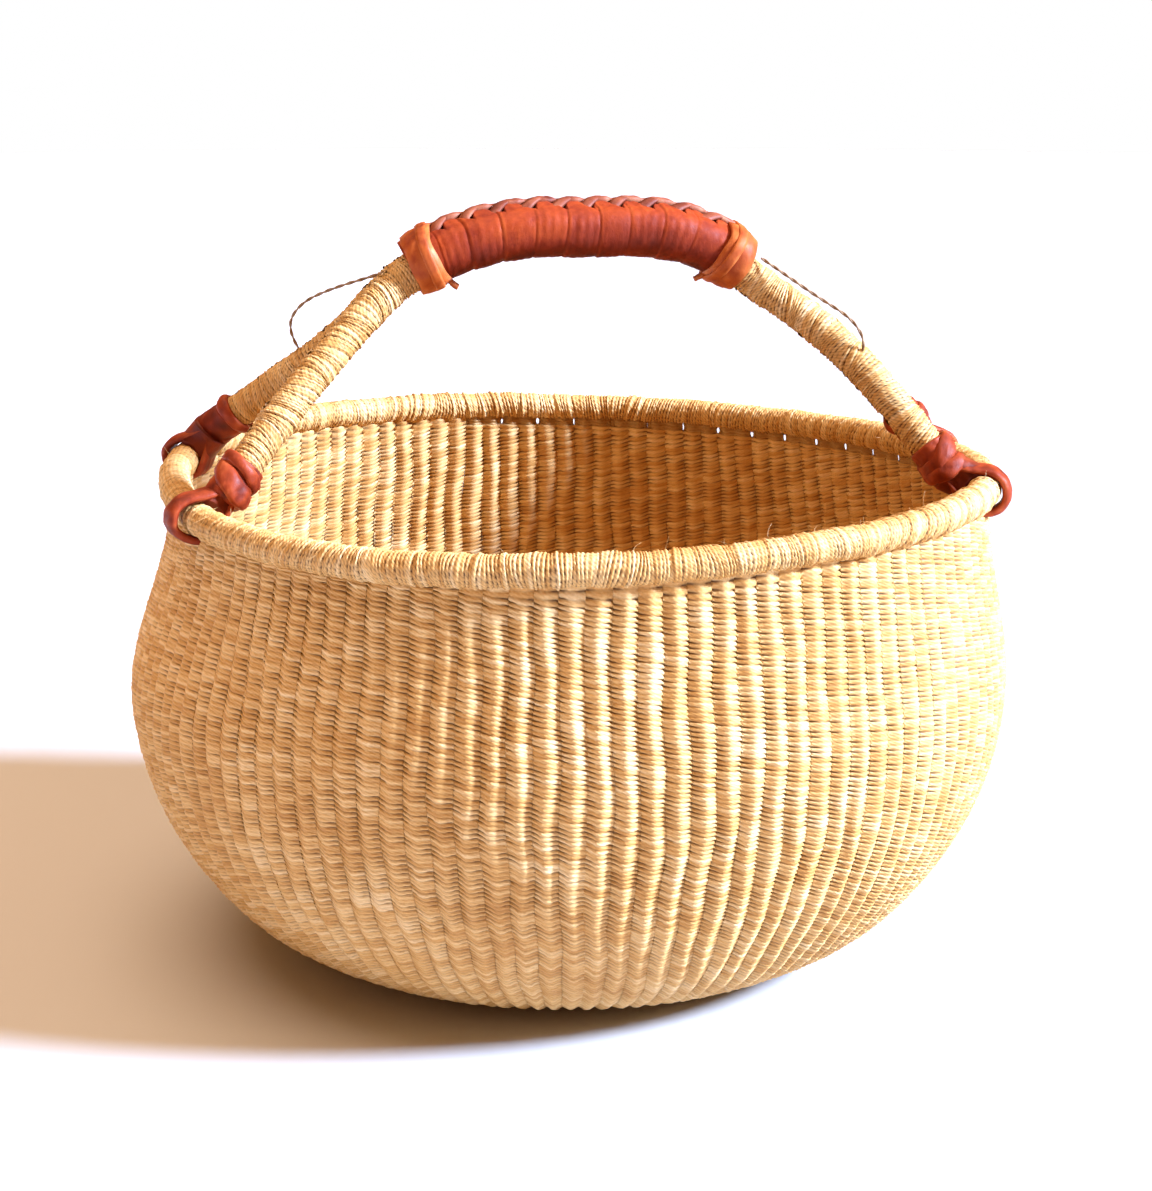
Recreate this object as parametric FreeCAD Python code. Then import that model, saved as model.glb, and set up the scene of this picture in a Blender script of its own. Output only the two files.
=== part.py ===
"""Round woven grass basket with a bail handle of two wrapped grass bundles and leather fittings.

Units are millimetres. +Z is up, the origin is at the middle of the base on the floor, and X runs along
the handle. Heights above the rim are worked out from RIM_HEIGHT, so the handle follows the rim.
"""
import FreeCAD, Part
import math
import os

from FreeCAD import Vector

# --- woven body ---
BASE_RADIUS = 110.0
BULGE_RADIUS = 200.0
BULGE_HEIGHT = 130.0
WALL_THICKNESS = 5.5

# --- rim ---
RIM_HEIGHT = 212.0
RIM_RADIUS = 187.0
RIM_TUBE_RADIUS = 7.0
RIM_WRAP_THICKNESS = 1.5
SAME_BODY_FIT = 0.05

# The outside of the wall from the base's edge to under the rim: radius, height.
WALL_OUTLINE = [
    (BASE_RADIUS, 0.0),
    (126.0, 4.0),
    (152.0, 16.0),
    (171.0, 36.0),
    (187.5, 65.0),
    (198.0, 101.0),
    (BULGE_RADIUS, BULGE_HEIGHT),
    (193.0, 174.0),
    (RIM_RADIUS + 1.0, RIM_HEIGHT - 2.0),
]
WALL_START_DIRECTION = Vector(1.0, 0.0, 0.12)
WALL_END_DIRECTION = Vector(-0.14, 0.0, 1.0)
INNER_CURVE_STEPS = 14

# --- handle arms: corners of each limb, from the grip's middle to the end (x, y, height above the rim) ---
ARM_RADIUS = 7.8
ARM_WRAP_THICKNESS = 1.2
ARM_OFFSET = 8.4
GRIP_MIDDLE_X = 5.0
LEFT_GRIP_CORNERS = [(GRIP_MIDDLE_X, 108.3), (-16.0, 108.3), (-46.0, 102.5), (-75.0, 88.5)]
RIGHT_GRIP_CORNERS = [(GRIP_MIDDLE_X, 108.3), (28.0, 108.3), (60.0, 102.0), (86.0, 85.0)]
LIMBS = {
    "front_left": {
        "grip": LEFT_GRIP_CORNERS,
        "side": -1.0,
        "free": [(-100.0, -22.0, 66.0), (-124.5, -42.0, 41.0), (-152.0, -63.5, 7.0)],
        "wrap_length": 16.0,
        "strap_width": 9.0,
        "strap_slack": 1.2,
    },
    "rear_left": {
        "grip": LEFT_GRIP_CORNERS,
        "side": 1.0,
        "free": [(-92.0, 15.0, 70.5), (-125.0, 34.0, 41.5), (-160.0, 57.0, 13.0)],
        "wrap_length": 12.0,
        "strap_width": 14.0,
        "strap_slack": 0.5,
    },
    "front_right": {
        "grip": RIGHT_GRIP_CORNERS,
        "side": -1.0,
        "free": [(110.0, -25.0, 67.0), (133.0, -42.0, 43.0), (156.0, -58.5, 12.5)],
        "wrap_length": 14.0,
        "strap_width": 11.0,
        "strap_slack": 0.5,
    },
    "rear_right": {
        "grip": RIGHT_GRIP_CORNERS,
        "side": 1.0,
        "free": [(112.0, 15.0, 67.5), (140.0, 26.0, 42.5), (168.0, 39.0, 14.0)],
        "wrap_length": 14.0,
        "strap_width": 10.0,
        "strap_slack": 0.5,
    },
}
ARM_CORNER_TRIM = 8.0

# --- leather ---
LEATHER = 1.8
GRIP_HALF_HEIGHT = 11.6
GRIP_HALF_WIDTH = 17.6
GRIP_SEAM_LIFT = 2.0
COLLAR_LENGTH = 15.0
COLLAR_OVERHANG = 0.8
COLLAR_TAIL = (3.0, 6.0, 4.5)
LACING_WIDTH = 6.0
LACING_HEIGHT = 2.6
LACING_END_GAP = 17.5
STRAP_THICKNESS = 1.8
STRAP_RIM_GAP = 0.3
TONGUE_THICKNESS = 3.2
MOVING_GAP = 0.35
SLOT_GAP = 0.4

# --- tie cords: corners of each route (x, y, height above the rim) ---
CORD_DIAMETER = 1.5
CORD_TRIM_SHARE = 0.45
TIE_CORDS = {
    "left": [
        (-68.5, 0.0, 96.6),
        (-84.0, 2.0, 91.0),
        (-104.0, 10.0, 84.5),
        (-119.0, 18.0, 77.0),
        (-125.5, 24.0, 65.0),
        (-120.3, 27.9, 55.5),
    ],
    "right": [
        (85.0, -12.0, 97.6),
        (95.0, -21.0, 90.5),
        (108.0, -31.0, 81.5),
        (120.0, -39.5, 74.0),
        (126.0, -42.0, 64.5),
        (125.2, -39.2, 58.3),
    ],
}


def above_rim(point):
    """A corner given by its height above the rim, as a point in the part's frame."""
    x, y, height = point
    return Vector(x, y, RIM_HEIGHT + height)


def unit(vector):
    """The vector at length one."""
    return vector * (1.0 / vector.Length)


def rounded_path(corners, trim_share, longest_trim=None):
    """Straight runs joined by tangent arcs, and the arcs' radii."""
    edges = []
    radii = []
    start = corners[0]
    for before, corner, after in zip(corners, corners[1:], corners[2:]):
        back = before - corner
        ahead = after - corner
        trim = trim_share * min(back.Length, ahead.Length)
        if longest_trim is not None:
            trim = min(trim, longest_trim)
        half_turn = 0.5 * (math.pi - back.getAngle(ahead))
        if half_turn < 1e-4:
            continue
        radius = trim / math.tan(half_turn)
        inward = unit(unit(back) + unit(ahead))
        centre_distance = radius / math.cos(half_turn)
        arc_start = corner + unit(back) * trim
        arc_end = corner + unit(ahead) * trim
        arc_middle = corner + inward * (centre_distance - radius)
        edges.append(Part.LineSegment(start, arc_start).toShape())
        edges.append(Part.Arc(arc_start, arc_middle, arc_end).toShape())
        radii.append(radius)
        start = arc_end
    edges.append(Part.LineSegment(start, corners[-1]).toShape())
    return Part.Wire(edges), radii


def round_bar(corners, radius, trim_share=CORD_TRIM_SHARE, longest_trim=None):
    """A bar of round section along a rounded path."""
    path, _ = rounded_path(corners, trim_share, longest_trim)
    section = Part.Wire([Part.makeCircle(radius, corners[0], corners[1] - corners[0])])
    return path.makePipeShell([section], True, False)


def arm_bar(corners, radius):
    """A bar along one limb, or along both limbs of one arm."""
    return round_bar(corners, radius, 0.45, ARM_CORNER_TRIM)


def grip_points(grip, side_offset, lift=0.0):
    """The grip's corners in the part's frame, lifted square to each run where asked."""
    flat = [Vector(x, side_offset, RIM_HEIGHT + height) for x, height in grip]
    if lift == 0.0:
        return flat
    lifted = []
    for index, point in enumerate(flat):
        first = flat[max(index - 1, 0)]
        last = flat[min(index + 1, len(flat) - 1)]
        before = unit(point - first) if index > 0 else unit(last - point)
        after = unit(last - point) if index < len(flat) - 1 else before
        along = unit(before + after)
        square = unit(Vector(-along.z, 0.0, along.x))
        if square.z < 0.0:
            square = square * -1.0
        stretch = 1.0 / math.cos(0.5 * before.getAngle(after))
        lifted.append(point + square * (lift * stretch))
    return lifted


def limb_corners(name):
    """Every corner of one limb, from the grip's middle to its end."""
    limb = LIMBS[name]
    inside = grip_points(limb["grip"], limb["side"] * ARM_OFFSET)
    return inside + [above_rim(point) for point in limb["free"]]


def arm_corners(depth):
    """Every corner of the front or the rear arm, from its left end to its right end."""
    left = limb_corners(depth + "_left")
    right = limb_corners(depth + "_right")
    return list(reversed(left)) + right[1:]


def wall_outline_curve():
    """The outside of the wall as one smooth curve."""
    curve = Part.BSplineCurve()
    points = [Vector(radius, 0.0, height) for radius, height in WALL_OUTLINE]
    curve.interpolate(
        Points=points, InitialTangent=WALL_START_DIRECTION, FinalTangent=WALL_END_DIRECTION
    )
    return curve


def make_woven_wall(straps):
    """The wall: the outline and its inward offset, turned round Z, tucked under the rim, with strap slots."""
    outer = wall_outline_curve()
    first = outer.FirstParameter
    last = outer.LastParameter
    inner_points = [Vector(BASE_RADIUS, 0.0, WALL_THICKNESS)]
    for step in range(1, INNER_CURVE_STEPS + 1):
        parameter = first + (last - first) * step / INNER_CURVE_STEPS
        point = outer.value(parameter)
        along = outer.tangent(parameter)[0]
        inward = Vector(-along.z, 0.0, along.x)
        inner_points.append(point + inward * WALL_THICKNESS)
    inner = Part.BSplineCurve()
    inner.interpolate(
        Points=inner_points, InitialTangent=WALL_START_DIRECTION, FinalTangent=WALL_END_DIRECTION
    )
    top = Part.LineSegment(outer.value(last), inner_points[-1])
    foot = Part.LineSegment(inner_points[0], outer.value(first))
    outline = Part.Wire([outer.toShape(), top.toShape(), inner.toShape(), foot.toShape()])
    wall = Part.Face(outline).revolve(Vector(0, 0, 0), Vector(0, 0, 1), 360)
    wall = wall.cut(rim_ring(RIM_TUBE_RADIUS))
    above = Part.makeCylinder(RIM_RADIUS + 30.0, 30.0, Vector(0, 0, RIM_HEIGHT - RIM_TUBE_RADIUS / 2.0))
    wall = wall.cut(above)
    for strap in straps:
        wall = wall.cut(strap)
    return largest_solid(wall)


def largest_solid(shape):
    """The shape's biggest solid, without the crumbs that a cut may leave."""
    return max(shape.Solids, key=lambda solid: solid.Volume)


def rim_ring(radius):
    """A ring of the given section radius along the rim's centreline."""
    return Part.makeTorus(RIM_RADIUS, radius, Vector(0, 0, RIM_HEIGHT))


def make_woven_base():
    """The base: a flat woven disc that the wall turns up from."""
    return Part.makeCylinder(BASE_RADIUS, WALL_THICKNESS)


def arm_end_frame(name):
    """The end of one limb and the direction in which it points there."""
    corners = limb_corners(name)
    return corners[-1], unit(corners[-1] - corners[-2])


def end_wrap_outside(name, growth=0.0):
    """The outside of the leather that closes one limb's end."""
    end, along = arm_end_frame(name)
    radius = ARM_RADIUS + LEATHER + growth
    length = LIMBS[name]["wrap_length"]
    start = end - along * (length + growth)
    body = Part.makeCylinder(radius, length + LEATHER + 2.0 * growth, start, along)
    tip = [edge for edge in body.Edges if (edge.CenterOfMass - end).Length < LEATHER + growth + 0.5]
    round_edges = [edge for edge in tip if edge.Curve.TypeId == "Part::GeomCircle"]
    return body.makeFillet(2.5, round_edges)


def make_end_wrap(name):
    """A leather wrap closed over one limb's end."""
    end, along = arm_end_frame(name)
    length = LIMBS[name]["wrap_length"]
    start = end - along * length
    bore = Part.makeCylinder(ARM_RADIUS + SAME_BODY_FIT, length, start, along)
    return end_wrap_outside(name).cut(bore)


def strap_frame(name):
    """The rim point that one strap goes round, with the rim's outward and sideways directions there."""
    end, along = arm_end_frame(name)
    tip = end + along * LEATHER
    angle = math.atan2(tip.y, tip.x)
    outward = Vector(math.cos(angle), math.sin(angle), 0.0)
    sideways = Vector(-math.sin(angle), math.cos(angle), 0.0)
    centre = outward * RIM_RADIUS + Vector(0, 0, RIM_HEIGHT)
    return centre, outward, sideways, tip


def strap_ring(name, growth=0.0):
    """The part of one strap that goes round the rim."""
    centre, _, sideways, _ = strap_frame(name)
    limb = LIMBS[name]
    inner = RIM_TUBE_RADIUS + STRAP_RIM_GAP + limb["strap_slack"] - growth
    outer = RIM_TUBE_RADIUS + STRAP_RIM_GAP + limb["strap_slack"] + STRAP_THICKNESS + growth
    width = limb["strap_width"] + 2.0 * growth
    start = centre - sideways * (width / 2.0)
    ring = Part.makeCylinder(outer, width, start, sideways)
    return ring.cut(Part.makeCylinder(inner, width, start, sideways))


def make_strap(name):
    """A leather strap: a loop round the rim and a doubled tongue up to the limb's end."""
    centre, _, sideways, tip = strap_frame(name)
    limb = LIMBS[name]
    inner = RIM_TUBE_RADIUS + STRAP_RIM_GAP + limb["strap_slack"]
    towards = unit(tip - centre)
    upright = unit(towards.cross(sideways))
    reach = (tip - centre).Length + 2.0
    width = limb["strap_width"]
    corner = centre + towards * (inner + 0.4) - sideways * (width / 2.0)
    corner = corner - upright * (TONGUE_THICKNESS / 2.0)
    placed = FreeCAD.Matrix(
        towards.x, sideways.x, upright.x, corner.x,
        towards.y, sideways.y, upright.y, corner.y,
        towards.z, sideways.z, upright.z, corner.z,
        0, 0, 0, 1,
    )
    tongue = Part.makeBox(reach - inner, width, TONGUE_THICKNESS)
    tongue = tongue.transformGeometry(placed)
    tongue = tongue.cut(end_wrap_outside(name, MOVING_GAP))
    return largest_solid(strap_ring(name).fuse(tongue))


def stadium_section(origin, along, half_width, half_height):
    """A rounded slot outline square to a run in the X-Z plane."""
    across = Vector(0, 1, 0)
    up = unit(Vector(-along.z, 0.0, along.x))
    if up.z < 0.0:
        up = up * -1.0
    straight = half_width - half_height
    top_left = origin - across * straight + up * half_height
    top_right = origin + across * straight + up * half_height
    low_right = origin + across * straight - up * half_height
    low_left = origin - across * straight - up * half_height
    right_side = origin + across * half_width
    left_side = origin - across * half_width
    edges = [
        Part.LineSegment(top_left, top_right).toShape(),
        Part.Arc(top_right, right_side, low_right).toShape(),
        Part.LineSegment(low_right, low_left).toShape(),
        Part.Arc(low_left, left_side, top_left).toShape(),
    ]
    return Part.Wire(edges)


def shortened(corners, start_trim, end_trim):
    """The same corners with both ends pulled in along their own runs."""
    first = corners[0] + unit(corners[1] - corners[0]) * start_trim
    last = corners[-1] + unit(corners[-2] - corners[-1]) * end_trim
    return [first] + corners[1:-1] + [last]


def whole_grip(lift):
    """The grip's corners from its left mouth to its right mouth, at Y = 0."""
    left = grip_points(LEFT_GRIP_CORNERS, 0.0, lift)
    right = grip_points(RIGHT_GRIP_CORNERS, 0.0, lift)
    return list(reversed(left))[:-1] + right[1:]


def stadium_bar(corners, half_width, half_height):
    """A bar of rounded slot section along the grip."""
    path, _ = rounded_path(corners, 0.45, ARM_CORNER_TRIM)
    section = stadium_section(corners[0], corners[1] - corners[0], half_width, half_height)
    return path.makePipeShell([section], True, False)


def make_grip_cover():
    """The leather cover of the grip, thicker on top where its edges are gathered under the lacing."""
    outside = shortened(whole_grip(GRIP_SEAM_LIFT), ARM_CORNER_TRIM, ARM_CORNER_TRIM)
    cavity = shortened(whole_grip(0.0), ARM_CORNER_TRIM - 2.0, ARM_CORNER_TRIM - 2.0)
    room = ARM_RADIUS + SAME_BODY_FIT
    hollow = stadium_bar(cavity, ARM_OFFSET + room, room)
    return stadium_bar(outside, GRIP_HALF_WIDTH, GRIP_HALF_HEIGHT).cut(hollow)


def make_grip_lacing():
    """The laced thong along the top of the cover."""
    lift = GRIP_SEAM_LIFT + GRIP_HALF_HEIGHT + LACING_HEIGHT / 2.0
    gap = ARM_CORNER_TRIM + LACING_END_GAP
    corners = shortened(whole_grip(lift), gap, gap)
    path, _ = rounded_path(corners, 0.45, ARM_CORNER_TRIM)
    along = unit(corners[1] - corners[0])
    up = unit(Vector(-along.z, 0.0, along.x))
    across = Vector(0, 1, 0)
    half_up = up * (LACING_HEIGHT / 2.0)
    half_across = across * (LACING_WIDTH / 2.0)
    start = corners[0]
    outline = [
        start - half_across - half_up,
        start + half_across - half_up,
        start + half_across + half_up,
        start - half_across + half_up,
        start - half_across - half_up,
    ]
    return path.makePipeShell([Part.makePolygon(outline)], True, False)


def make_collar(side):
    """A leather band round one end of the grip cover, with its cut tail hanging on the inner side."""
    corners = shortened(whole_grip(GRIP_SEAM_LIFT), ARM_CORNER_TRIM, ARM_CORNER_TRIM)
    if side == "right":
        corners = list(reversed(corners))
    inward = unit(corners[1] - corners[0])
    start = corners[0] - inward * COLLAR_OVERHANG
    room = SAME_BODY_FIT
    outer = stadium_section(start, inward, GRIP_HALF_WIDTH + room + LEATHER, GRIP_HALF_HEIGHT + room + LEATHER)
    inner = stadium_section(start, inward, GRIP_HALF_WIDTH + room, GRIP_HALF_HEIGHT + room)
    band = Part.Face(outer).extrude(inward * COLLAR_LENGTH)
    band = band.cut(Part.Face(inner).extrude(inward * COLLAR_LENGTH))
    down = unit(Vector(-inward.z, 0.0, inward.x))
    if down.z > 0.0:
        down = down * -1.0
    thickness, width, drop = COLLAR_TAIL
    foot = start + inward * (COLLAR_LENGTH - thickness) + down * (GRIP_HALF_HEIGHT + room + LEATHER / 2.0)
    foot = foot - Vector(0, width / 2.0, 0)
    outline = Part.makePolygon([
        foot,
        foot + inward * thickness,
        foot + inward * thickness + Vector(0, width, 0),
        foot + Vector(0, width, 0),
        foot,
    ])
    tail = Part.Face(outline).extrude(down * (drop + LEATHER / 2.0))
    return band.fuse(tail).removeSplitter()


def make_tie_cord(side):
    """One thin twisted grass cord from under a collar back to an arm, with its radii and volume printed."""
    corners = [above_rim(point) for point in TIE_CORDS[side]]
    path, radii = rounded_path(corners, CORD_TRIM_SHARE)
    cord = round_bar(corners, CORD_DIAMETER / 2.0)
    section = math.pi * (CORD_DIAMETER / 2.0) ** 2
    shown = ", ".join("%.1f" % radius for radius in radii)
    print("tie cord %s: length %.1f, radii %s" % (side, path.Length, shown))
    print("  volume %.2f, section times length %.2f" % (cord.Volume, section * path.Length))
    return cord


def build_nodes():
    """Every node's name and solid."""
    nodes = {"woven_base": make_woven_base()}
    slots = [strap_ring(name, SLOT_GAP) for name in LIMBS]
    nodes["woven_wall"] = make_woven_wall(slots)
    core_radius = RIM_TUBE_RADIUS - RIM_WRAP_THICKNESS
    nodes["rim_core"] = rim_ring(core_radius - SAME_BODY_FIT)
    nodes["rim_wrap"] = rim_ring(RIM_TUBE_RADIUS).cut(rim_ring(core_radius))
    arm_core_radius = ARM_RADIUS - ARM_WRAP_THICKNESS
    for depth in ("front", "rear"):
        nodes["arm_core_" + depth] = arm_bar(arm_corners(depth), arm_core_radius - SAME_BODY_FIT)
    for name in LIMBS:
        corners = limb_corners(name)
        outside = arm_bar(corners, ARM_RADIUS)
        nodes["arm_wrap_" + name] = outside.cut(arm_bar(corners, arm_core_radius))
        nodes["end_wrap_" + name] = make_end_wrap(name)
        nodes["strap_" + name] = make_strap(name)
    nodes["grip_cover"] = make_grip_cover()
    nodes["grip_lacing"] = make_grip_lacing()
    for side in ("left", "right"):
        nodes["collar_" + side] = make_collar(side)
        nodes["tie_cord_" + side] = make_tie_cord(side)
    return nodes


def main():
    """Write one STEP file for each node."""
    os.makedirs("parts", exist_ok=True)
    for name, shape in build_nodes().items():
        solids = len(shape.Solids)
        box = shape.BoundBox
        print(
            "%-24s solids %d valid %s volume %.0f box %.1f %.1f %.1f to %.1f %.1f %.1f"
            % (
                name, solids, shape.isValid(), shape.Volume,
                box.XMin, box.YMin, box.ZMin, box.XMax, box.YMax, box.ZMax,
            )
        )
        shape.exportStep("parts/" + name + ".step")


main()
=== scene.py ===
"""Round woven grass basket with a wrapped rim, a bail handle and leather fittings.

Lengths are millimetres in the shape functions and become metres when a mesh is made. Cord routes are in
metres. X runs along the handle, +Z is up, and the origin is the middle of the base on the floor.
"""
import math

import bpy
import numpy as np
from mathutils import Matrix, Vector


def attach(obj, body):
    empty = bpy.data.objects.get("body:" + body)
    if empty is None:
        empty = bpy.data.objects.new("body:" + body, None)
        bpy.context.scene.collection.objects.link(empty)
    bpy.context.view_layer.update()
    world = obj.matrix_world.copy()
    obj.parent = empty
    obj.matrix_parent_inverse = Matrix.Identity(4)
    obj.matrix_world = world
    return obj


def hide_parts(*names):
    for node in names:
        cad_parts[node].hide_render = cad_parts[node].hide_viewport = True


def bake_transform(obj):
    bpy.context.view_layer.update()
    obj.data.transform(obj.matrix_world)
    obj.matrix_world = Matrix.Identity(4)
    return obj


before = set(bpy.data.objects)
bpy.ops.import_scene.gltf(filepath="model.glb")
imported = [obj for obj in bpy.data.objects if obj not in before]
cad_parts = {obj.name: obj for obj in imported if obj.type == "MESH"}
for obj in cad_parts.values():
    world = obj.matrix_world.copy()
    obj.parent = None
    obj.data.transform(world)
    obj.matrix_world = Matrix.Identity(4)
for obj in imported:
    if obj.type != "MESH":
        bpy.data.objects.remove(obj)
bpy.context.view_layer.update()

MM = 0.001
TURN = 2.0 * math.pi
rng = np.random.default_rng(11)

# --- main sizes ---
RIM_HEIGHT = 212.0
RIM_RADIUS = 187.0
RIM_TUBE = 7.0
BASE_RADIUS = 110.0
WALL_THICKNESS = 5.5
RIM_WARP = 2.6
# the rim is drawn in near the handle's left end: how far, at which angle, over what angle
RIM_PULL = 11.0
RIM_PULL_ANGLE = math.pi + 0.175
RIM_PULL_WIDTH = 0.60
WALL_OUTLINE = [
    (110.0, 0.0), (126.0, 5.2), (151.2, 18.4), (170.6, 38.0), (187.5, 66.0),
    (198.0, 101.0), (200.0, 130.0), (193.0, 174.0), (188.0, 210.0),
]
RIBS = 120
ROW_PITCH = 2.02
RIB_DEPTH = 2.5

# --- handle ---
ARM_RADIUS = 7.8
ARM_OFFSET = 8.4
LEFT_GRIP = [(5.0, 108.3), (-16.0, 108.3), (-46.0, 102.5), (-75.0, 88.5)]
RIGHT_GRIP = [(5.0, 108.3), (28.0, 108.3), (60.0, 102.0), (86.0, 85.0)]
LIMBS = {
    "front_left": (LEFT_GRIP, -1, [(-100.0, -22.0, 66.0), (-124.5, -42.0, 41.0), (-152.0, -63.5, 7.0)]),
    "rear_left": (LEFT_GRIP, 1, [(-92.0, 15.0, 70.5), (-126.0, 33.5, 41.0), (-162.0, 53.5, 13.5)]),
    "front_right": (RIGHT_GRIP, -1, [(110.0, -25.0, 67.0), (134.5, -42.5, 42.0), (160.0, -60.0, 8.5)]),
    "rear_right": (RIGHT_GRIP, 1, [(112.0, 15.0, 67.5), (141.0, 26.5, 42.0), (171.0, 40.0, 10.5)]),
}
GRIP_HALF_WIDTH = 17.6
GRIP_HALF_HEIGHT = 11.6
GRIP_LIFT = 2.0

# --- camera: the view from the front, a little from the left and above ---
CAMERA_DISTANCE = 1.056
CAMERA_HEIGHT = 0.4208
CAMERA_AZIMUTH = -6.5
CAMERA_YAW = -0.19
CAMERA_PITCH = 14.14
CAMERA_LENS = 71.5


def make_camera():
    """The scene's camera."""
    data = bpy.data.cameras.new("camera")
    data.lens = CAMERA_LENS
    data.sensor_width = 36.0
    data.sensor_fit = "AUTO"
    data.clip_start = 0.05
    data.clip_end = 50.0
    camera = bpy.data.objects.new("camera", data)
    angle = math.radians(CAMERA_AZIMUTH)
    camera.location = (
        math.sin(angle) * CAMERA_DISTANCE,
        -math.cos(angle) * CAMERA_DISTANCE,
        CAMERA_HEIGHT,
    )
    camera.rotation_euler = (
        math.radians(90.0 - CAMERA_PITCH),
        0.0,
        math.radians(CAMERA_AZIMUTH + CAMERA_YAW),
    )
    bpy.context.collection.objects.link(camera)
    bpy.context.scene.camera = camera


make_camera()


# --- small geometry helpers ---
def unit(vectors):
    """Vectors at length one."""
    vectors = np.asarray(vectors, float)
    return vectors / np.linalg.norm(vectors, axis=-1, keepdims=True)


def smooth_step(low, high, value):
    """0 below low, 1 above high, smooth between."""
    share = np.clip((np.asarray(value, float) - low) / (high - low), 0.0, 1.0)
    return share * share * (3.0 - 2.0 * share)


def even_points(points, count):
    """The polyline's points, spaced evenly."""
    points = np.asarray(points, float)
    steps = np.linalg.norm(np.diff(points, axis=0), axis=1)
    distance = np.concatenate([[0.0], np.cumsum(steps)])
    wanted = np.linspace(0.0, distance[-1], count)
    return np.stack([np.interp(wanted, distance, points[:, k]) for k in range(points.shape[1])], 1)


def length_of(points):
    """The polyline's length."""
    return float(np.linalg.norm(np.diff(points, axis=0), axis=1).sum())


def spline_through(points, count):
    """A smooth cubic line through the points."""
    points = np.asarray(points, float)
    total = len(points)
    steps = np.linalg.norm(np.diff(points, axis=0), axis=1)
    knots = np.concatenate([[0.0], np.cumsum(steps)])
    matrix = np.zeros((total, total))
    right = np.zeros((total, points.shape[1]))
    matrix[0, 0] = matrix[-1, -1] = 1.0
    for index in range(1, total - 1):
        before = knots[index] - knots[index - 1]
        after = knots[index + 1] - knots[index]
        matrix[index, index - 1: index + 2] = before, 2.0 * (before + after), after
        slope_after = (points[index + 1] - points[index]) / after
        slope_before = (points[index] - points[index - 1]) / before
        right[index] = 6.0 * (slope_after - slope_before)
    bend = np.linalg.solve(matrix, right)
    wanted = np.linspace(0.0, knots[-1], count)
    index = np.clip(np.searchsorted(knots, wanted, side="right") - 1, 0, total - 2)
    span = (knots[index + 1] - knots[index])[:, None]
    left = (knots[index + 1] - wanted)[:, None] / span
    rest = 1.0 - left
    curve = left * points[index] + rest * points[index + 1]
    curve += ((left**3 - left) * bend[index] + (rest**3 - rest) * bend[index + 1]) * span**2 / 6.0
    return curve


def ring_of(angle, sideways, upward):
    """Directions round a line, at angles from its sideways direction towards its upward one."""
    return np.cos(angle)[..., None] * sideways + np.sin(angle)[..., None] * upward


def polar(radius, theta, height):
    """Points at a distance from the middle, an angle and a height."""
    return np.stack([radius * np.cos(theta), radius * np.sin(theta), height], -1)


def wander(position, waves, seed, size):
    """A smooth random value along a line: a few sine waves of the given lengths."""
    source = np.random.default_rng(seed)
    total = np.zeros_like(np.asarray(position, float))
    for wave in waves:
        total += np.sin(position * TURN / wave + source.uniform(0, TURN)) * source.uniform(0.6, 1.0)
    return total * size / len(waves)


# --- mesh making ---
def grid_piece(name, points, around=False, caps=False, flip=False, **attributes):
    """A smooth quad mesh from a grid of points in millimetres, with its values kept as attributes."""
    rows, columns = points.shape[:2]
    across = columns if around else columns - 1
    row, column = np.meshgrid(np.arange(rows - 1), np.arange(across), indexing="ij")
    next_column = (column + 1) % columns
    quads = np.stack([
        row * columns + column,
        row * columns + next_column,
        (row + 1) * columns + next_column,
        (row + 1) * columns + column,
    ], -1).reshape(-1, 4)
    corner_u = np.stack([column, column + 1, column + 1, column], -1).reshape(-1, 4) / across
    corner_v = np.stack([row, row, row + 1, row + 1], -1).reshape(-1, 4) / (rows - 1)
    if flip:
        quads, corner_u, corner_v = quads[:, ::-1], corner_u[:, ::-1], corner_v[:, ::-1]
    loops = quads.ravel()
    starts = np.arange(len(quads)) * 4
    totals = np.full(len(quads), 4)
    u, v = corner_u.ravel(), corner_v.ravel()
    if caps:
        first = np.arange(columns)[::-1]
        last = np.arange(columns) + (rows - 1) * columns
        if flip:
            first, last = first[::-1], last[::-1]
        starts = np.concatenate([starts, [len(loops), len(loops) + columns]])
        totals = np.concatenate([totals, [columns, columns]])
        loops = np.concatenate([loops, first, last])
        u = np.concatenate([u, np.zeros(2 * columns)])
        v = np.concatenate([v, np.zeros(2 * columns)])
    mesh = bpy.data.meshes.new(name)
    mesh.vertices.add(rows * columns)
    mesh.vertices.foreach_set("co", (points.reshape(-1, 3) * MM).astype(np.float32).ravel())
    mesh.loops.add(len(loops))
    mesh.loops.foreach_set("vertex_index", loops.astype(np.int32))
    mesh.polygons.add(len(starts))
    mesh.polygons.foreach_set("loop_start", starts.astype(np.int32))
    mesh.polygons.foreach_set("loop_total", totals.astype(np.int32))
    mesh.polygons.foreach_set("use_smooth", np.ones(len(starts), bool))
    mesh.update(calc_edges=True)
    layer = mesh.uv_layers.new(name="OFBake")
    layer.data.foreach_set("uv", np.stack([u, v], 1).astype(np.float32).ravel())
    for key, values in attributes.items():
        values = np.asarray(values, np.float32)
        if values.ndim == 3:
            mesh.attributes.new(key, "FLOAT_VECTOR", "POINT").data.foreach_set("vector", values.ravel())
        else:
            values = np.broadcast_to(values, (rows, columns))
            mesh.attributes.new(key, "FLOAT", "POINT").data.foreach_set("value", values.ravel())
    piece = bpy.data.objects.new(name, mesh)
    bpy.context.collection.objects.link(piece)
    return piece


def joined(name, pieces):
    """Several pieces as one."""
    bpy.ops.object.select_all(action="DESELECT")
    for piece in pieces:
        piece.select_set(True)
    bpy.context.view_layer.objects.active = pieces[0]
    if len(pieces) > 1:
        bpy.ops.object.join()
    pieces[0].name = name
    pieces[0].data.name = name
    return pieces[0]


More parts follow.
